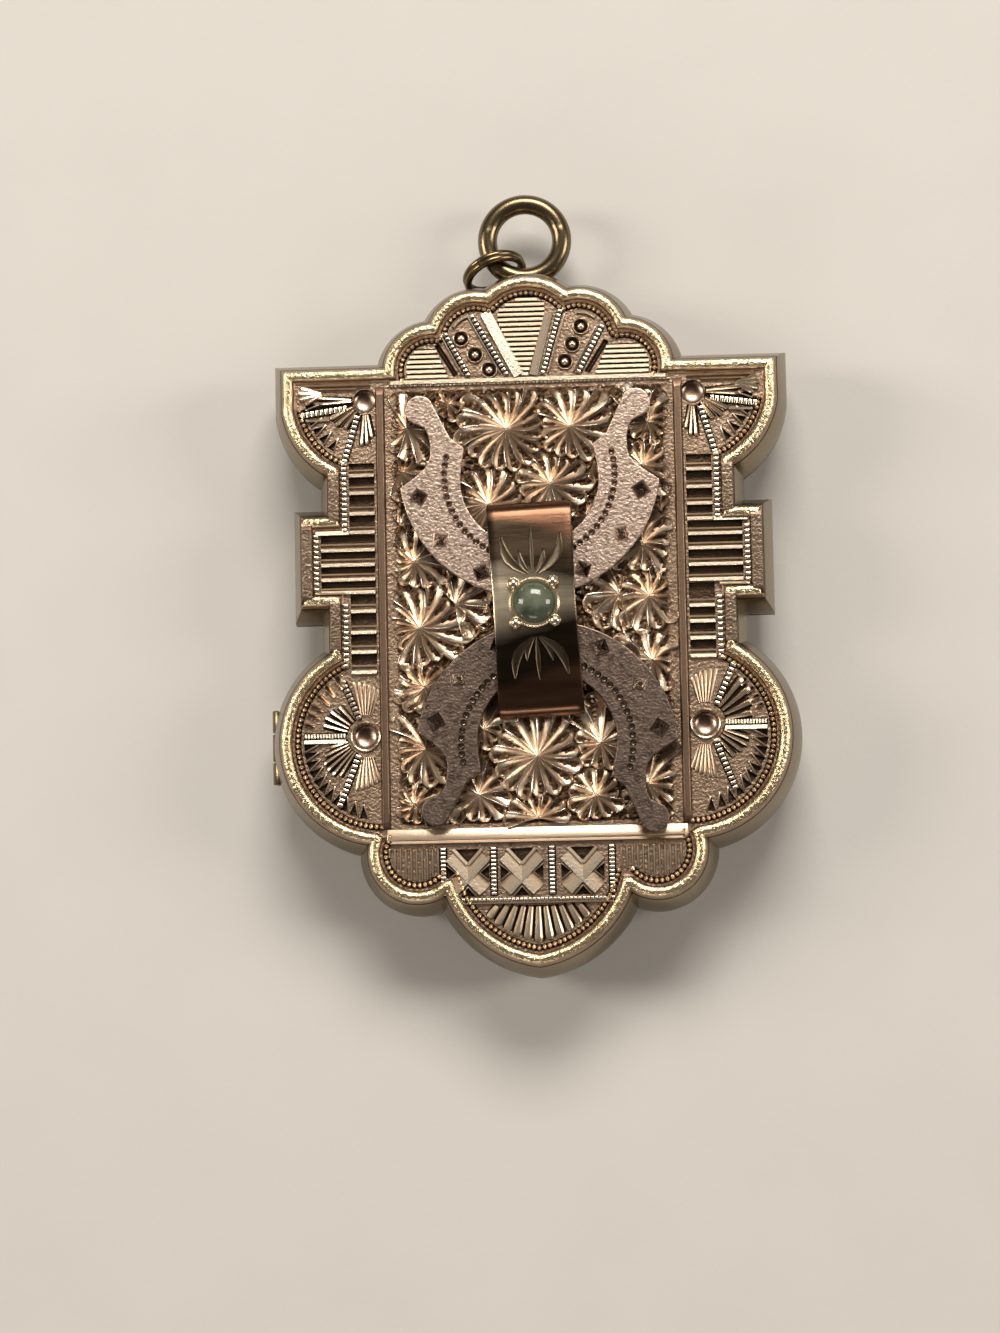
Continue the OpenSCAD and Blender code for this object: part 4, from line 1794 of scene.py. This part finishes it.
@dataclass
class Case:
    """The two covers, their hinge knuckles and the bail ring."""

    outline: Outline
    hinge_at: Triple = (-13.15, -6.8, 2.825)
    hinge_l: float = 3.8
    middle_l: float = 1.4
    knuckle_gap: float = 0.06
    knuckle_r: float = 0.4
    bore_r: float = 0.23
    seat_half_h: float = 0.95
    seat_depth: float = 1.05
    bail_at: Triple = (-0.15, 19.35, 2.25)
    bail_r: float = 1.93
    bail_wire_r: float = 0.5
    bail_flattening: float = 0.94
    solder_half: Triple = (1.1, 0.5, 0.55)
    wall_from: float = PLATE_Z - 0.24

    @property
    def end_l(self) -> float:
        """Give an end knuckle's length."""
        return (self.hinge_l - self.middle_l) / 2 - self.knuckle_gap

    @property
    def end_offset(self) -> float:
        """Give how far an end knuckle's middle lies from the hinge's middle."""
        return (self.hinge_l - self.end_l) / 2

    def run(self, radius: float, length: float, offset: float) -> Piece:
        """Add a cylinder about the hinge axis.

        Args:
            radius: Its radius.
            length: Its length along Y.
            offset: Its middle's distance from the hinge's middle.

        Returns:
            The cylinder.
        """
        place = (self.hinge_at[0], self.hinge_at[1] + offset, self.hinge_at[2])
        bpy.ops.mesh.primitive_cylinder_add(
            vertices=40, radius=radius, depth=length, location=place, rotation=(math.pi / 2, 0, 0),
        )
        return baked()

    def knuckle(self, length: float, offset: float) -> Piece:
        """Model one bored knuckle with softened ends.

        Args:
            length: Its length.
            offset: Its middle's distance from the hinge's middle.

        Returns:
            The knuckle.
        """
        piece = self.run(self.knuckle_r, length, offset)
        apply_modifier(piece, "BEVEL", width=0.05, segments=2, limit_method="ANGLE")
        carve(piece, self.run(self.bore_r, length + 1, offset))
        return piece

    def clear_knuckle(self, piece: Piece, length: float, offset: float) -> None:
        """Cut the room that the other cover's knuckle needs.

        Args:
            piece: The cover.
            length: The knuckle's length.
            offset: Its middle's distance from the hinge's middle.
        """
        gap = self.knuckle_gap
        carve(piece, self.run(self.knuckle_r + gap, length + 2 * gap, offset))

    def seat(self) -> Piece:
        """Model the cutter for the flat that is filed in the walls for the hinge.

        Returns:
            The cutter.
        """
        x, y, z = self.hinge_at
        size = (self.seat_depth, self.hinge_l + 2 * self.knuckle_gap, 2 * self.seat_half_h)
        bpy.ops.mesh.primitive_cube_add(size=1, location=(x - 1 + size[0] / 2, y, z), scale=size)
        return baked()

    def shell(self, name: str, wall: Sequence[Point]) -> Piece:
        """Loft a cover from its section, and file the flat for the hinge.

        Args:
            name: The cover's name.
            wall: How far the outline is grown at each height.

        Returns:
            The cover.
        """
        piece = loft(name, [self.outline.ring(grow, z) for grow, z in wall])
        carve(piece, self.seat())
        return piece

    def front_wall(self) -> list[Point]:
        """List the front cover's section: its inner wall, its flared outer wall and the rim's bead."""
        return [
            (-0.449, 4.9), (0.1, PARTING_Z), (0.73, PARTING_Z), (0.79, PARTING_Z + 0.06), (0.8, 3.1),
            (0.78, 3.35), (0.73, 3.65), (0.66, 3.95), (0.57, 4.3), (0.47, 4.65), (0.37, 4.98), (0.28, 5.22),
            (0.225, 5.34), (0.205, 5.42), (0.185, 5.52), (0.13, 5.62), (0.05, 5.7), (-0.04, 5.74),
            (-0.12, RIM_TOP_Z), (-0.2, 5.745), (-0.29, 5.71), (-0.36, 5.64), (-0.405, 5.55), (-0.425, 5.46),
            (-0.5, PLATE_Z),
        ]

    def back_wall(self) -> list[Point]:
        """List the back cover's section: its rounded outer wall, its flat edge and the closing lip."""
        return [
            (-0.7, 0.0), (-0.5, 0.02), (-0.3, 0.08), (-0.05, 0.22), (0.16, 0.46), (0.36, 0.8), (0.53, 1.2),
            (0.66, 1.65), (0.75, 2.1), (0.8, 2.5), (0.8, 2.7), (0.74, BACK_TOP_Z), (-0.33, BACK_TOP_Z),
            (-0.33, 3.24), (-0.38, 3.3), (-0.7, 3.3), (-0.75, 3.25), (-0.75, 1.9), (-0.29, 1.9), (-0.57, 0.5),
        ]

    def front(self, cuts: Strikes, finish: Material, wall: Material) -> None:
        """Model the front cover, cut its engraving and fit its knuckle.

        Args:
            cuts: The cutters for all grooves, notches and bowls.
            finish: Its face's finish.
            wall: The finish of its walls and of its inside.
        """
        piece = self.shell("cover_front", self.front_wall())
        for side in (1, -1):
            self.clear_knuckle(piece, self.end_l, side * self.end_offset)
        carve(piece, cuts.piece("engraving_cuts"), crossing=True)
        piece = join("cover_front", [piece, self.knuckle(self.middle_l, 0)])
        smooth(piece, 28)
        settle(piece, Body.FRONT, Slot.ENGRAVED, finish, "front_cover")
        piece.data.materials.append(wall)
        for face in piece.data.polygons:
            face.material_index = int(face.center.z < self.wall_from * MM)

    def back(self, finish: Material) -> None:
        """Model the back cover with its lip, its two knuckles and the bail ring.

        Args:
            finish: Its finish.
        """
        piece = self.shell("cover_back", self.back_wall())
        self.clear_knuckle(piece, self.middle_l, 0)
        knuckles = [self.knuckle(self.end_l, side * self.end_offset) for side in (1, -1)]
        piece = join("cover_back", [piece, *knuckles, self.bail()])
        smooth(piece, 28)
        settle(piece, Body.BACK, Slot.CASE, finish, "back_cover")

    def bail(self) -> Piece:
        """Model the bail ring with the solder that runs up to it from the case.

        Returns:
            The ring and its solder.
        """
        x, y, _ = self.bail_at
        bpy.ops.mesh.primitive_torus_add(
            major_segments=96, minor_segments=28, major_radius=self.bail_r, minor_radius=self.bail_wire_r,
            location=self.bail_at,
        )
        ring = baked()
        with editing(ring) as mesh:
            for vertex in mesh.verts:
                vertex.select_set(vertex.co.y > y + 0.6)
            mesh.select_flush(True)
            bpy.ops.transform.resize(value=(1, 1, self.bail_flattening), center_override=self.bail_at)
        bpy.ops.mesh.primitive_uv_sphere_add(
            segments=32, ring_count=16, radius=1, location=(x, y - 2.0, 2.05), scale=self.solder_half,
        )
        solder = baked()
        halve(solder, (0, y - 2.6, 0), (0, 1, 0))
        return join("bail", [ring, solder])


@dataclass
class JumpRing:
    """The loose ring of doubled wire in the bail, with the joint where its ends meet."""

    centre: Triple = (-1.77, 17.78, 1.75)
    lean: float = 69.6
    turn: float = -69.4
    radius: float = 1.5
    wire_r: float = 0.33
    strand_r: float = 0.19
    joint_degrees: float = 2.2
    joint_at: float = 200.0

    def build(self, finish: Material) -> None:
        """Spin the wire round and close its ends.

        Args:
            finish: Its dark bronze finish.
        """
        strands: list[Piece] = []
        for side in (1, -1):
            bpy.ops.mesh.primitive_circle_add(
                vertices=20, radius=self.strand_r, fill_type="NGON",
                location=(self.radius, 0, side * (self.wire_r - self.strand_r)), rotation=(math.pi / 2, 0, 0),
            )
            strands.append(bpy.context.active_object)
        wire = join("jump_link", strands)
        bake_place(wire)
        sweep = math.radians(360 - self.joint_degrees)
        with editing(wire, "SELECT"):
            bpy.ops.mesh.spin(steps=90, angle=sweep, center=(0, 0, 0), axis=(0, 0, 1))
        face_outwards(wire, merge=True)
        turn, lean, start = (
            Matrix.Rotation(math.radians(angle), 4, axis)
            for angle, axis in ((self.turn, "Z"), (self.lean, "Y"), (self.joint_at, "Z"))
        )
        wire.data.transform(Matrix.Translation(self.centre) @ turn @ lean @ start)
        smooth(wire)
        settle(wire, Body.BACK, Slot.BRONZE, finish, "jump_ring")


@dataclass
class Horseshoe:
    """One applied horseshoe, with its nail holes and its row of punched dots."""

    name: str
    node: str
    place: Point
    turn: float
    slot: Slot
    radius: float = 6.6
    inner_radius: float = 3.5
    inner_drop: float = 0.5
    thick: float = 0.5
    heel_r: float = 0.75
    heel_at: Point = (5.45, 3.1)
    cut_y: float = -0.82
    holes: tuple[Point, ...] = ((5.6, -1.35), (4.55, -3.55), (2.52, -5.28))
    hole_half: float = 0.4
    hole_depth: float = 0.26
    dots_r: float = 4.3
    dots_drop: float = 0.4
    dots_top: float = 1.2
    dot_pitch: float = 0.4
    dot_r: float = 0.2

    def half(self) -> list[Point]:
        """List the right half's points, from the outer edge's middle round the heel to the inner edge."""
        bottom = -math.pi / 2
        end = math.asin(self.cut_y / self.radius)
        points = [polar((0, 0), bottom + (end - bottom) * k / 48, self.radius) for k in range(49)]
        points += [
            (5.85, -0.35), (5.35, 0.05), (5.08, 0.4), (4.98, 0.75), (4.97, 1.35), (5.06, 1.85), (5.25, 2.2),
        ]
        points += [polar(self.heel_at, math.radians(-60 + 200 * k / 18), self.heel_r) for k in range(19)]
        points += [(3.95, 1.65), (3.25, 1.1), (3.4, 0.2), (3.48, -0.5)]
        end = math.asin((self.cut_y + self.inner_drop) / self.inner_radius)
        centre = (0, -self.inner_drop)
        turns = [end + (bottom - end) * k / 32 for k in range(1, 33)]
        return points + [polar(centre, turn, self.inner_radius) for turn in turns]

    def blank(self) -> Piece:
        """Model the flat shoe with its edges softened.

        Returns:
            The shoe without its holes.
        """
        right = self.half()
        left = [(-x, y) for x, y in right[-2:0:-1]]
        flat = [(x, y, 0.0) for x, y in right + left]
        piece = mesh_piece(self.name, np.array(flat), [tuple(range(len(flat)))])
        with editing(piece, "SELECT"):
            bpy.ops.mesh.extrude_region_move(TRANSFORM_OT_translate={"value": (0, 0, self.thick)})
        face_outwards(piece, merge=True)
        corner = math.radians(60)
        apply_modifier(piece, "BEVEL", width=0.07, segments=3, limit_method="ANGLE", angle_limit=corner)
        return piece

    def punches(self) -> Piece:
        """Gather the square nail punches and the round dots.

        Returns:
            The cutters as one mesh.
        """
        shapes: list[Piece] = []
        bottom = -math.pi / 2
        end = math.asin((self.dots_top + self.dots_drop) / self.dots_r)
        count = int(self.dots_r * (end - bottom) / self.dot_pitch)
        for side in Side:
            for x, y in self.holes:
                x *= side.value
                bpy.ops.mesh.primitive_cone_add(
                    vertices=4, radius1=0.1, radius2=self.hole_half * math.sqrt(2) + 0.08,
                    depth=self.hole_depth + 0.05, rotation=(0, 0, math.atan2(y, x)),
                    location=(x, y, self.thick - self.hole_depth / 2 + 0.03),
                )
                shapes.append(bpy.context.active_object)
            for k in range(count):
                turn = bottom + (k + 0.5) * self.dot_pitch / self.dots_r
                x, y = polar((0, -self.dots_drop), turn, self.dots_r)
                place = (side.value * x, y, self.thick + 0.06)
                bpy.ops.mesh.primitive_uv_sphere_add(
                    segments=10, ring_count=6, radius=self.dot_r, location=place,
                )
                shapes.append(bpy.context.active_object)
        return join("punches", shapes)

    def build(self, finish: Material) -> None:
        """Model the shoe and seat it on the plate.

        Args:
            finish: Its finish.
        """
        piece = self.blank()
        tool = self.punches()
        bake_place(tool)
        carve(piece, tool)
        turn = Matrix.Rotation(math.radians(self.turn), 4, "Z")
        piece.data.transform(Matrix.Translation((*self.place, SEAT_Z)) @ turn)
        smooth(piece, 14)
        settle(piece, Body.FRONT, self.slot, finish, self.node)


@dataclass
class Strap:
    """The arched strap over both shoes, with its engraved leaves, the stone's setting and the stone."""

    width: float = 4.2
    half_length: float = 5.45
    rise: float = 1.5
    thick: float = 0.42
    place: Point = (0.18, -0.37)
    turn: float = 2.5
    stone_y: float = 0.22
    stone_r: float = 1.04
    stone_h: float = 0.75
    seat_h: float = 1.3
    grain_r: float = 0.33
    profile: tuple[Point, ...] = (
        (0, 1), (1.09, 0.98), (2.4525, 0.88), (4.2, 0.7), (5.1, 0.58), (5.45, 0.3),
    )

    def seated(self) -> Matrix:
        """Give the strap's place on the shoes."""
        turn = Matrix.Rotation(math.radians(self.turn), 4, "Z")
        return Matrix.Translation((*self.place, SEAT_Z)) @ turn

    def height(self, y: np.ndarray | float) -> np.ndarray | float:
        """Give the strap's upper surface at a place along it.

        Args:
            y: The place from its middle.

        Returns:
            The height over its seat.
        """
        places, levels = np.array(self.profile).T
        fine = np.linspace(0, self.half_length, 60)
        curve = np.interp(fine, places, levels * self.rise)
        for _ in range(4):
            curve[1:-1] = (curve[:-2] + 2 * curve[1:-1] + curve[2:]) / 4
        return np.interp(np.abs(y), fine, curve)

    def band(self) -> Piece:
        """Model the arched band.

        Returns:
            The band, in the strap's own place.
        """
        bpy.ops.mesh.primitive_grid_add(x_subdivisions=10, y_subdivisions=56, size=2)
        piece = bpy.context.active_object
        piece.name = "strap_band"
        for vertex in piece.data.vertices:
            y = vertex.co.y * self.half_length
            waist = 1 - 0.02 * math.cos(math.pi * vertex.co.y)
            vertex.co = (vertex.co.x * self.width / 2 * waist, y, float(self.height(y)))
        face_outwards(piece)
        apply_modifier(piece, "SOLIDIFY", thickness=self.thick, offset=-1, use_even_offset=True)
        with editing(piece) as mesh:
            for vertex in mesh.verts:
                end = abs(abs(vertex.co.y) - self.half_length) < self.thick * 1.1
                vertex.select_set(end and vertex.co.z < 0.3 * self.rise - 0.01)
            mesh.select_flush(True)
            bpy.ops.transform.resize(value=(1, 1, 0), center_override=(0, 0, 0))
        corner = math.radians(50)
        apply_modifier(piece, "BEVEL", width=0.07, segments=2, limit_method="ANGLE", angle_limit=corner)
        face_outwards(piece, merge=True)
        return piece

    def leaves(self, dies: Dies) -> Piece:
        """Strike the engraved leaves, bent along their middles.

        Args:
            dies: The stock of dies.

        Returns:
            The leaves, in the strap's own place.
        """
        work = Strikes(dies, 0.0)
        routes = (
            ((-0.3, 1.7), (-1.5, 3.75), 0.75, 0.26), ((0.3, 1.7), (1.5, 3.75), -0.75, 0.26),
            ((-0.15, 1.7), (-0.62, 2.95), 0.3, 0.16), ((0.15, 1.7), (0.62, 2.95), -0.3, 0.16),
            ((0.0, 1.75), (0.02, 4.1), 0.0, 0.13), ((0.0, -1.5), (0.02, -3.7), 0.0, 0.13),
            ((-0.2, -1.5), (-1.2, -3.55), -0.7, 0.24), ((0.2, -1.5), (1.5, -3.5), 0.7, 0.24),
            ((-0.1, -1.5), (-0.55, -2.7), -0.3, 0.15), ((0.1, -1.5), (0.75, -2.75), 0.3, 0.15),
        )
        s, t, h = dies.petal.points.T
        for (x0, y0), (x1, y1), bend, half in routes:
            length = math.hypot(x1 - x0, y1 - y0)
            ux, uy = (x1 - x0) / length, (y1 - y0) / length
            width = half * t * np.sin(math.pi * np.clip(s, 0.03, 0.97)) ** 0.7
            off = width + bend * np.sin(math.pi * s) * 0.5
            x = x0 + ux * s * length - uy * off
            y = y0 + uy * s * length + ux * off
            z = self.height(y) + 0.06 * h
            work.add(dies.petal, np.stack([x, y, z], axis=1))
        return work.piece("strap_leaves")

    def grains(self, dies: Dies) -> Piece:
        """Strike the setting's four grains, and the pearled lips over and under the stone.

        Args:
            dies: The stock of dies.

        Returns:
            The grains, in the strap's own place.
        """
        grains = Strikes(dies, 0.0)
        grain = (self.grain_r, self.grain_r, self.grain_r)
        for x in (-0.98, 0.98):
            for y in (-0.98, 0.98):
                grains.strike(dies.bead, (x, self.stone_y + y), 0.3, grain, self.seat_h + 0.25)
        for middle in (-90, 90):
            for step in range(-3, 4):
                turn = math.radians(middle + math.copysign(9, middle) * step)
                place = polar((0, self.stone_y), turn, 1.2)
                grains.strike(dies.bead, place, turn + math.pi / 2, (0.13, 0.09, 0.13), self.seat_h + 0.22)
        return grains.piece("grains")

    def collar(self) -> Piece:
        """Spin the low collar that holds the stone.

        Returns:
            The collar, in the strap's own place.
        """
        bpy.ops.mesh.primitive_torus_add(
            major_segments=56, minor_segments=10, major_radius=self.stone_r + 0.09, minor_radius=0.15,
            location=(0, self.stone_y, self.seat_h + 0.2),
        )
        return baked()

    def build(self, dies: Dies, finish: Material, leaf: Material, setting: Material) -> None:
        """Model the strap and seat it.

        Args:
            dies: The stock of dies.
            finish: Its finish.
            leaf: The finish of its leaves.
            setting: The finish of the stone's setting.
        """
        band = self.band()
        leaves = self.leaves(dies)
        mount = join("stone_setting", [self.grains(dies), self.collar()])
        for piece in (band, leaves, mount):
            piece.data.transform(self.seated())
            smooth(piece, 34)
        settle(band, Body.FRONT, Slot.STRAP, finish, "strap")
        settle(leaves, Body.FRONT, Slot.STRAP, leaf)
        settle(mount, Body.FRONT, Slot.STRAP, setting)

    def stone(self, finish: Material) -> None:
        """Model the domed stone.

        Args:
            finish: Its finish.
        """
        bpy.ops.mesh.primitive_uv_sphere_add(
            segments=64, ring_count=32, radius=1, location=(0, self.stone_y, self.seat_h + 0.12),
            scale=(self.stone_r, self.stone_r, self.stone_h - 0.12),
        )
        piece = baked()
        piece.name = "cabochon"
        halve(piece, (0, 0, self.seat_h + 0.02), (0, 0, 1))
        face_outwards(piece, merge=True)
        piece.data.transform(self.seated())
        smooth(piece, 60)
        settle(piece, Body.FRONT, Slot.CABOCHON, finish, "stone")


@dataclass
class Studio:
    """The floor, the lights and the camera."""

    lean: Point = (3.09, -5.73)
    roll: float = 1.13
    distance: float = 160.0
    centre: Triple = (-1.69, -3.15, 5.5)
    pixels_per_mm: float = 19.89
    picture_h: float = 1333.0
    sensor: float = 36.0
    floor_m: float = 3.0
    floor_gap: float = 0.00002
    room_glow: float = 0.12

    def build(self) -> None:
        """Place the camera, the floor and the lights."""
        self.camera()
        self.floor()
        self.lights()

    def camera(self) -> None:
        """Place the camera at the photograph's angle."""
        back = Vector([math.tan(math.radians(angle)) for angle in self.lean] + [1.0]).normalized()
        across = Vector((0, 1, 0)).cross(back).normalized()
        upward = back.cross(across)
        roll = math.radians(self.roll)
        right = math.cos(roll) * across - math.sin(roll) * upward
        top = math.sin(roll) * across + math.cos(roll) * upward
        frame_matrix = Matrix((right, top, back)).transposed().to_4x4()
        data = bpy.data.cameras.new("camera")
        data.sensor_fit = "VERTICAL"
        data.sensor_height = self.sensor
        data.lens = self.pixels_per_mm * self.distance * self.sensor / self.picture_h
        data.clip_start = 0.01
        camera = bpy.data.objects.new("camera", data)
        frame_matrix.translation = (Vector(self.centre) + back * self.distance) * MM
        camera.matrix_world = frame_matrix
        bpy.context.scene.collection.objects.link(camera)
        bpy.context.scene.camera = camera

    def softbox(self, name: str, place: Triple, size: Point, power: float, tint: Colour) -> None:
        """Hang one soft light that faces the locket.

        Args:
            name: The light's name.
            place: Its place in millimetres.
            size: Its width and depth in millimetres.
            power: Its power in watts.
            tint: Its colour.
        """
        data = bpy.data.lights.new(name, "AREA")
        data.shape = "RECTANGLE"
        data.size, data.size_y = size[0] * MM, size[1] * MM
        data.energy = power
        data.color = tint
        light = bpy.data.objects.new(name, data)
        light.location = Vector(place) * MM
        light.rotation_euler = (-Vector(place)).to_track_quat("-Z", "Y").to_euler()
        bpy.context.scene.collection.objects.link(light)

    def lights(self) -> None:
        """Hang the lights and dim the room."""
        self.softbox("key", (30, 290, 300), (230, 150), 1.65, (1, 0.95, 0.88))
        self.softbox("left", (-280, 50, 190), (90, 150), 0.5, (1, 0.92, 0.82))
        self.softbox("right", (280, 30, 190), (90, 150), 0.4, (1, 0.93, 0.84))
        self.softbox("low", (-40, -290, 150), (150, 60), 0.13, (1, 0.92, 0.84))
        world = bpy.data.worlds.new("room")
        world.use_nodes = True
        inputs = world.node_tree.nodes["Background"].inputs
        inputs["Color"].default_value = (0.95, 0.86, 0.78, 1)
        inputs["Strength"].default_value = self.room_glow
        bpy.context.scene.world = world
        bpy.context.scene.view_settings.view_transform = "Standard"

    def floor(self) -> None:
        """Lay the pale floor under the locket."""
        bpy.ops.mesh.primitive_grid_add(
            x_subdivisions=8, y_subdivisions=8, size=self.floor_m, location=(0, 0, -self.floor_gap),
        )
        piece = baked()
        piece.name = "floor"
        piece.data.materials.append(FloorFinish("floor_finish").material())


class Finish(Enum):
    """The locket's metals, with their wear and their painted light and shade."""

    # Patina and painted shade in the cuts, and a painted highlight on the ridges
    BRIGHT = WornAndShadedMetal(
        "bright_cut", (0.07, 0.04, 0.022), (0.6, 0.44, 0.3), (1.0, 0.85, 0.66), PLATE_Z - 0.02,
        PLATE_Z + 0.17, pit_roughness=0.45, mottle=0.3, grain=0.5, grain_mm=0.12,
    )
    PETALS = WornAndShadedMetal(
        "gouged_petals", (0.11, 0.064, 0.035), (0.6, 0.45, 0.33), (1.0, 0.93, 0.82), PANEL_Z - 0.1,
        PANEL_Z + 0.28, pit_roughness=0.4, mottle=0.3, grain=0.5, grain_mm=0.14,
    )
    # The plate darkens low down with patina and painted shade, and the rim's top gets a cream painted
    # highlight
    PLATE = WornAndShadedMetal(
        "plate_wear_and_painted_light", (0.08, 0.052, 0.034), (0.38, 0.27, 0.19), (0.95, 0.76, 0.47), PLATE_Z - 0.12, RIM_TOP_Z,
        field_place=0.26, crest_from=0.7, pit_roughness=0.45, crest_roughness=0.24, mottle=0.35,
        mottle_mm=0.5, grain=0.9, grain_mm=0.15, grain_depth=0.06,
    )
    # Dark sheets of painted shade under and between raised work
    GROUND = WornAndShadedMetal(
        "painted_shade_ground", (0.02, 0.012, 0.007), (0.06, 0.036, 0.02), (0.3, 0.2, 0.12), PLATE_Z, PLATE_Z + 0.2,
        pit_roughness=0.5, crest_roughness=0.4, mottle=0.4, grain=0.6,
    )
    STIPPLED = WornAndShadedMetal(
        "stippled_ground", (0.05, 0.028, 0.016), (0.12, 0.072, 0.04), (0.3, 0.2, 0.12), PANEL_Z,
        PANEL_Z + 0.12, pit_roughness=0.5, crest_roughness=0.4, mottle=0.6, grain=0.6,
    )
    STRIP = WornAndShadedMetal(
        "brown_strip", (0.1, 0.06, 0.04), (0.2, 0.13, 0.09), (0.4, 0.28, 0.19), PLATE_Z, PLATE_Z + 0.2,
        crest_roughness=0.32, mottle=0.5, grain=0.5,
    )
    POLISHED = WornAndShadedMetal(
        "polished_bar", (0.3, 0.2, 0.14), (0.5, 0.37, 0.27), (0.78, 0.61, 0.45), PLATE_Z - 0.2,
        PLATE_Z + 0.24, pit_roughness=0.4, crest_roughness=0.3, mottle=0.15, grain=0.3,
    )
    # The bowl linings darken towards their floors: painted shade
    BOWLS = WornAndShadedMetal(
        "bowl_metal", (0.12, 0.075, 0.052), (0.45, 0.33, 0.26), (0.9, 0.72, 0.6), PLATE_Z - 0.27, PLATE_Z,
        pit_roughness=0.3, crest_roughness=0.3, mottle=0.3, grain=0.3,
    )
    MATTE = WornAndShadedMetal(
        "matte_gold", (0.09, 0.053, 0.036), (0.19, 0.133, 0.095), (0.34, 0.25, 0.178), RIM_TOP_Z - 0.06,
        RIM_TOP_Z + 0.03, pit_roughness=0.5, crest_roughness=0.32, mottle=1.4, mottle_mm=0.16, grain=0.9,
        grain_mm=0.14, grain_depth=0.05,
    )
    BRASS = WornAndShadedMetal(
        "case_brass", (0.2, 0.15, 0.09), (0.19, 0.142, 0.083), (0.28, 0.217, 0.127), 0.0, 5.2,
        pit_roughness=0.3, crest_roughness=0.24, mottle=0.5, mottle_mm=3.0,
    )
    ROSE = WornAndShadedMetal(
        "rose_satin", (0.15, 0.1, 0.075), (0.48, 0.345, 0.265), (0.85, 0.66, 0.54), SEAT_Z + 0.34,
        SEAT_Z + 0.51, field_place=0.78, pit_roughness=0.24, crest_roughness=0.36, mottle=0.85,
        mottle_mm=0.22, grain=0.8, grain_mm=0.14, grain_depth=0.04,
    )
    # The lower shoe's finish: a copy of the upper shoe's rose finish, darkened with painted shade
    TARNISH = WornAndShadedMetal(
        "rose_painted_shade", (0.2, 0.15, 0.11), (0.104, 0.071, 0.056), (0.3, 0.22, 0.175), SEAT_Z + 0.34,
        SEAT_Z + 0.51, field_place=0.78, pit_roughness=0.22, crest_roughness=0.38, mottle=0.45,
        mottle_mm=0.3, grain=0.8, grain_mm=0.14, grain_depth=0.04,
    )
    LEAF = WornAndShadedMetal(
        "leaf_cuts", (0.05, 0.036, 0.022), (0.1, 0.075, 0.05), (0.24, 0.19, 0.13), SEAT_Z + 0.3, SEAT_Z + 2.2,
        pit_roughness=0.36, mottle=0.4,
    )
    SETTING = WornAndShadedMetal(
        "setting_metal", (0.3, 0.2, 0.1), (0.62, 0.5, 0.34), (0.9, 0.76, 0.55), SEAT_Z + 0.3, SEAT_Z + 2.0,
        pit_roughness=0.36, crest_roughness=0.22, mottle=0.3,
    )
    BRONZE = WornAndShadedMetal(
        "dark_bronze", (0.08, 0.055, 0.03), (0.14, 0.105, 0.055), (0.22, 0.165, 0.09), 0.0, 4.0,
        pit_roughness=0.3, crest_roughness=0.25, mottle=0.5, mottle_mm=0.8, grain=0.1,
    )


def engrave(dies: Dies, outline: Outline, metals: dict[Finish, Material]) -> Strikes:
    """Strike all engraved areas of the front plate and dress them.

    Args:
        dies: The stock of dies.
        outline: The case's outline.
        metals: The material of each finish.

    Returns:
        The cutters that the areas leave for the front cover.
    """
    ground, cuts = Strikes(dies, PLATE_Z), Strikes(dies, PLATE_Z)
    shared = (dies, outline, ground, cuts)
    panel, ladders, fans = FlowerPanel(*shared), Ladders(*shared), LobeFans(*shared)
    for area in (panel, ladders, fans, Crest(*shared), BaseRow(*shared), Pendant(*shared), Milgrain(*shared)):
        area.strike()
        area.settle(metals[Finish.PETALS if area is panel else Finish.BRIGHT])
    fans.line_bowls(metals[Finish.BOWLS])
    panel.sheet(metals[Finish.STIPPLED])
    ladders.strips(metals[Finish.STRIP])
    ladders.bar(metals[Finish.POLISHED])
    ladders.bands(metals[Finish.MATTE])
    # The dark strips of painted shade under the raised work
    settle(ground.piece("painted_shade_strips"), Body.FRONT, Slot.ENGRAVED, metals[Finish.GROUND])
    return cuts


def main() -> None:
    """Build, dress and light the locket."""
    logging.basicConfig(level=logging.INFO, format="%(name)s %(message)s")
    bpy.ops.object.select_all(action="DESELECT")
    Studio().build()

    metals = {finish: finish.value.material() for finish in Finish}
    dies, outline = Dies(), Outline()
    cuts = engrave(dies, outline, metals)
    case = Case(outline)
    case.front(cuts, metals[Finish.PLATE], metals[Finish.BRASS])
    case.back(metals[Finish.BRASS])
    pin = frame["nodes"]["hinge_pin"]
    pin.data.materials.clear()
    pin.data.materials.append(metals[Finish.BRONZE])

    upper = Horseshoe("horseshoe_upper", "upper_horseshoe", (0.0, 6.85), 0.5, Slot.ROSE)
    upper.build(metals[Finish.ROSE])
    lower = Horseshoe("horseshoe_lower", "lower_horseshoe", (0.6, -7.55), 177.2, Slot.DARK)
    lower.build(metals[Finish.TARNISH])
    strap = Strap()
    strap.build(dies, StrapMetal("strap_metal").material(), metals[Finish.LEAF], metals[Finish.SETTING])
    strap.stone(CabochonGlass("milky_green").material())
    JumpRing().build(metals[Finish.BRONZE])


if __name__ == "__main__":
    main()
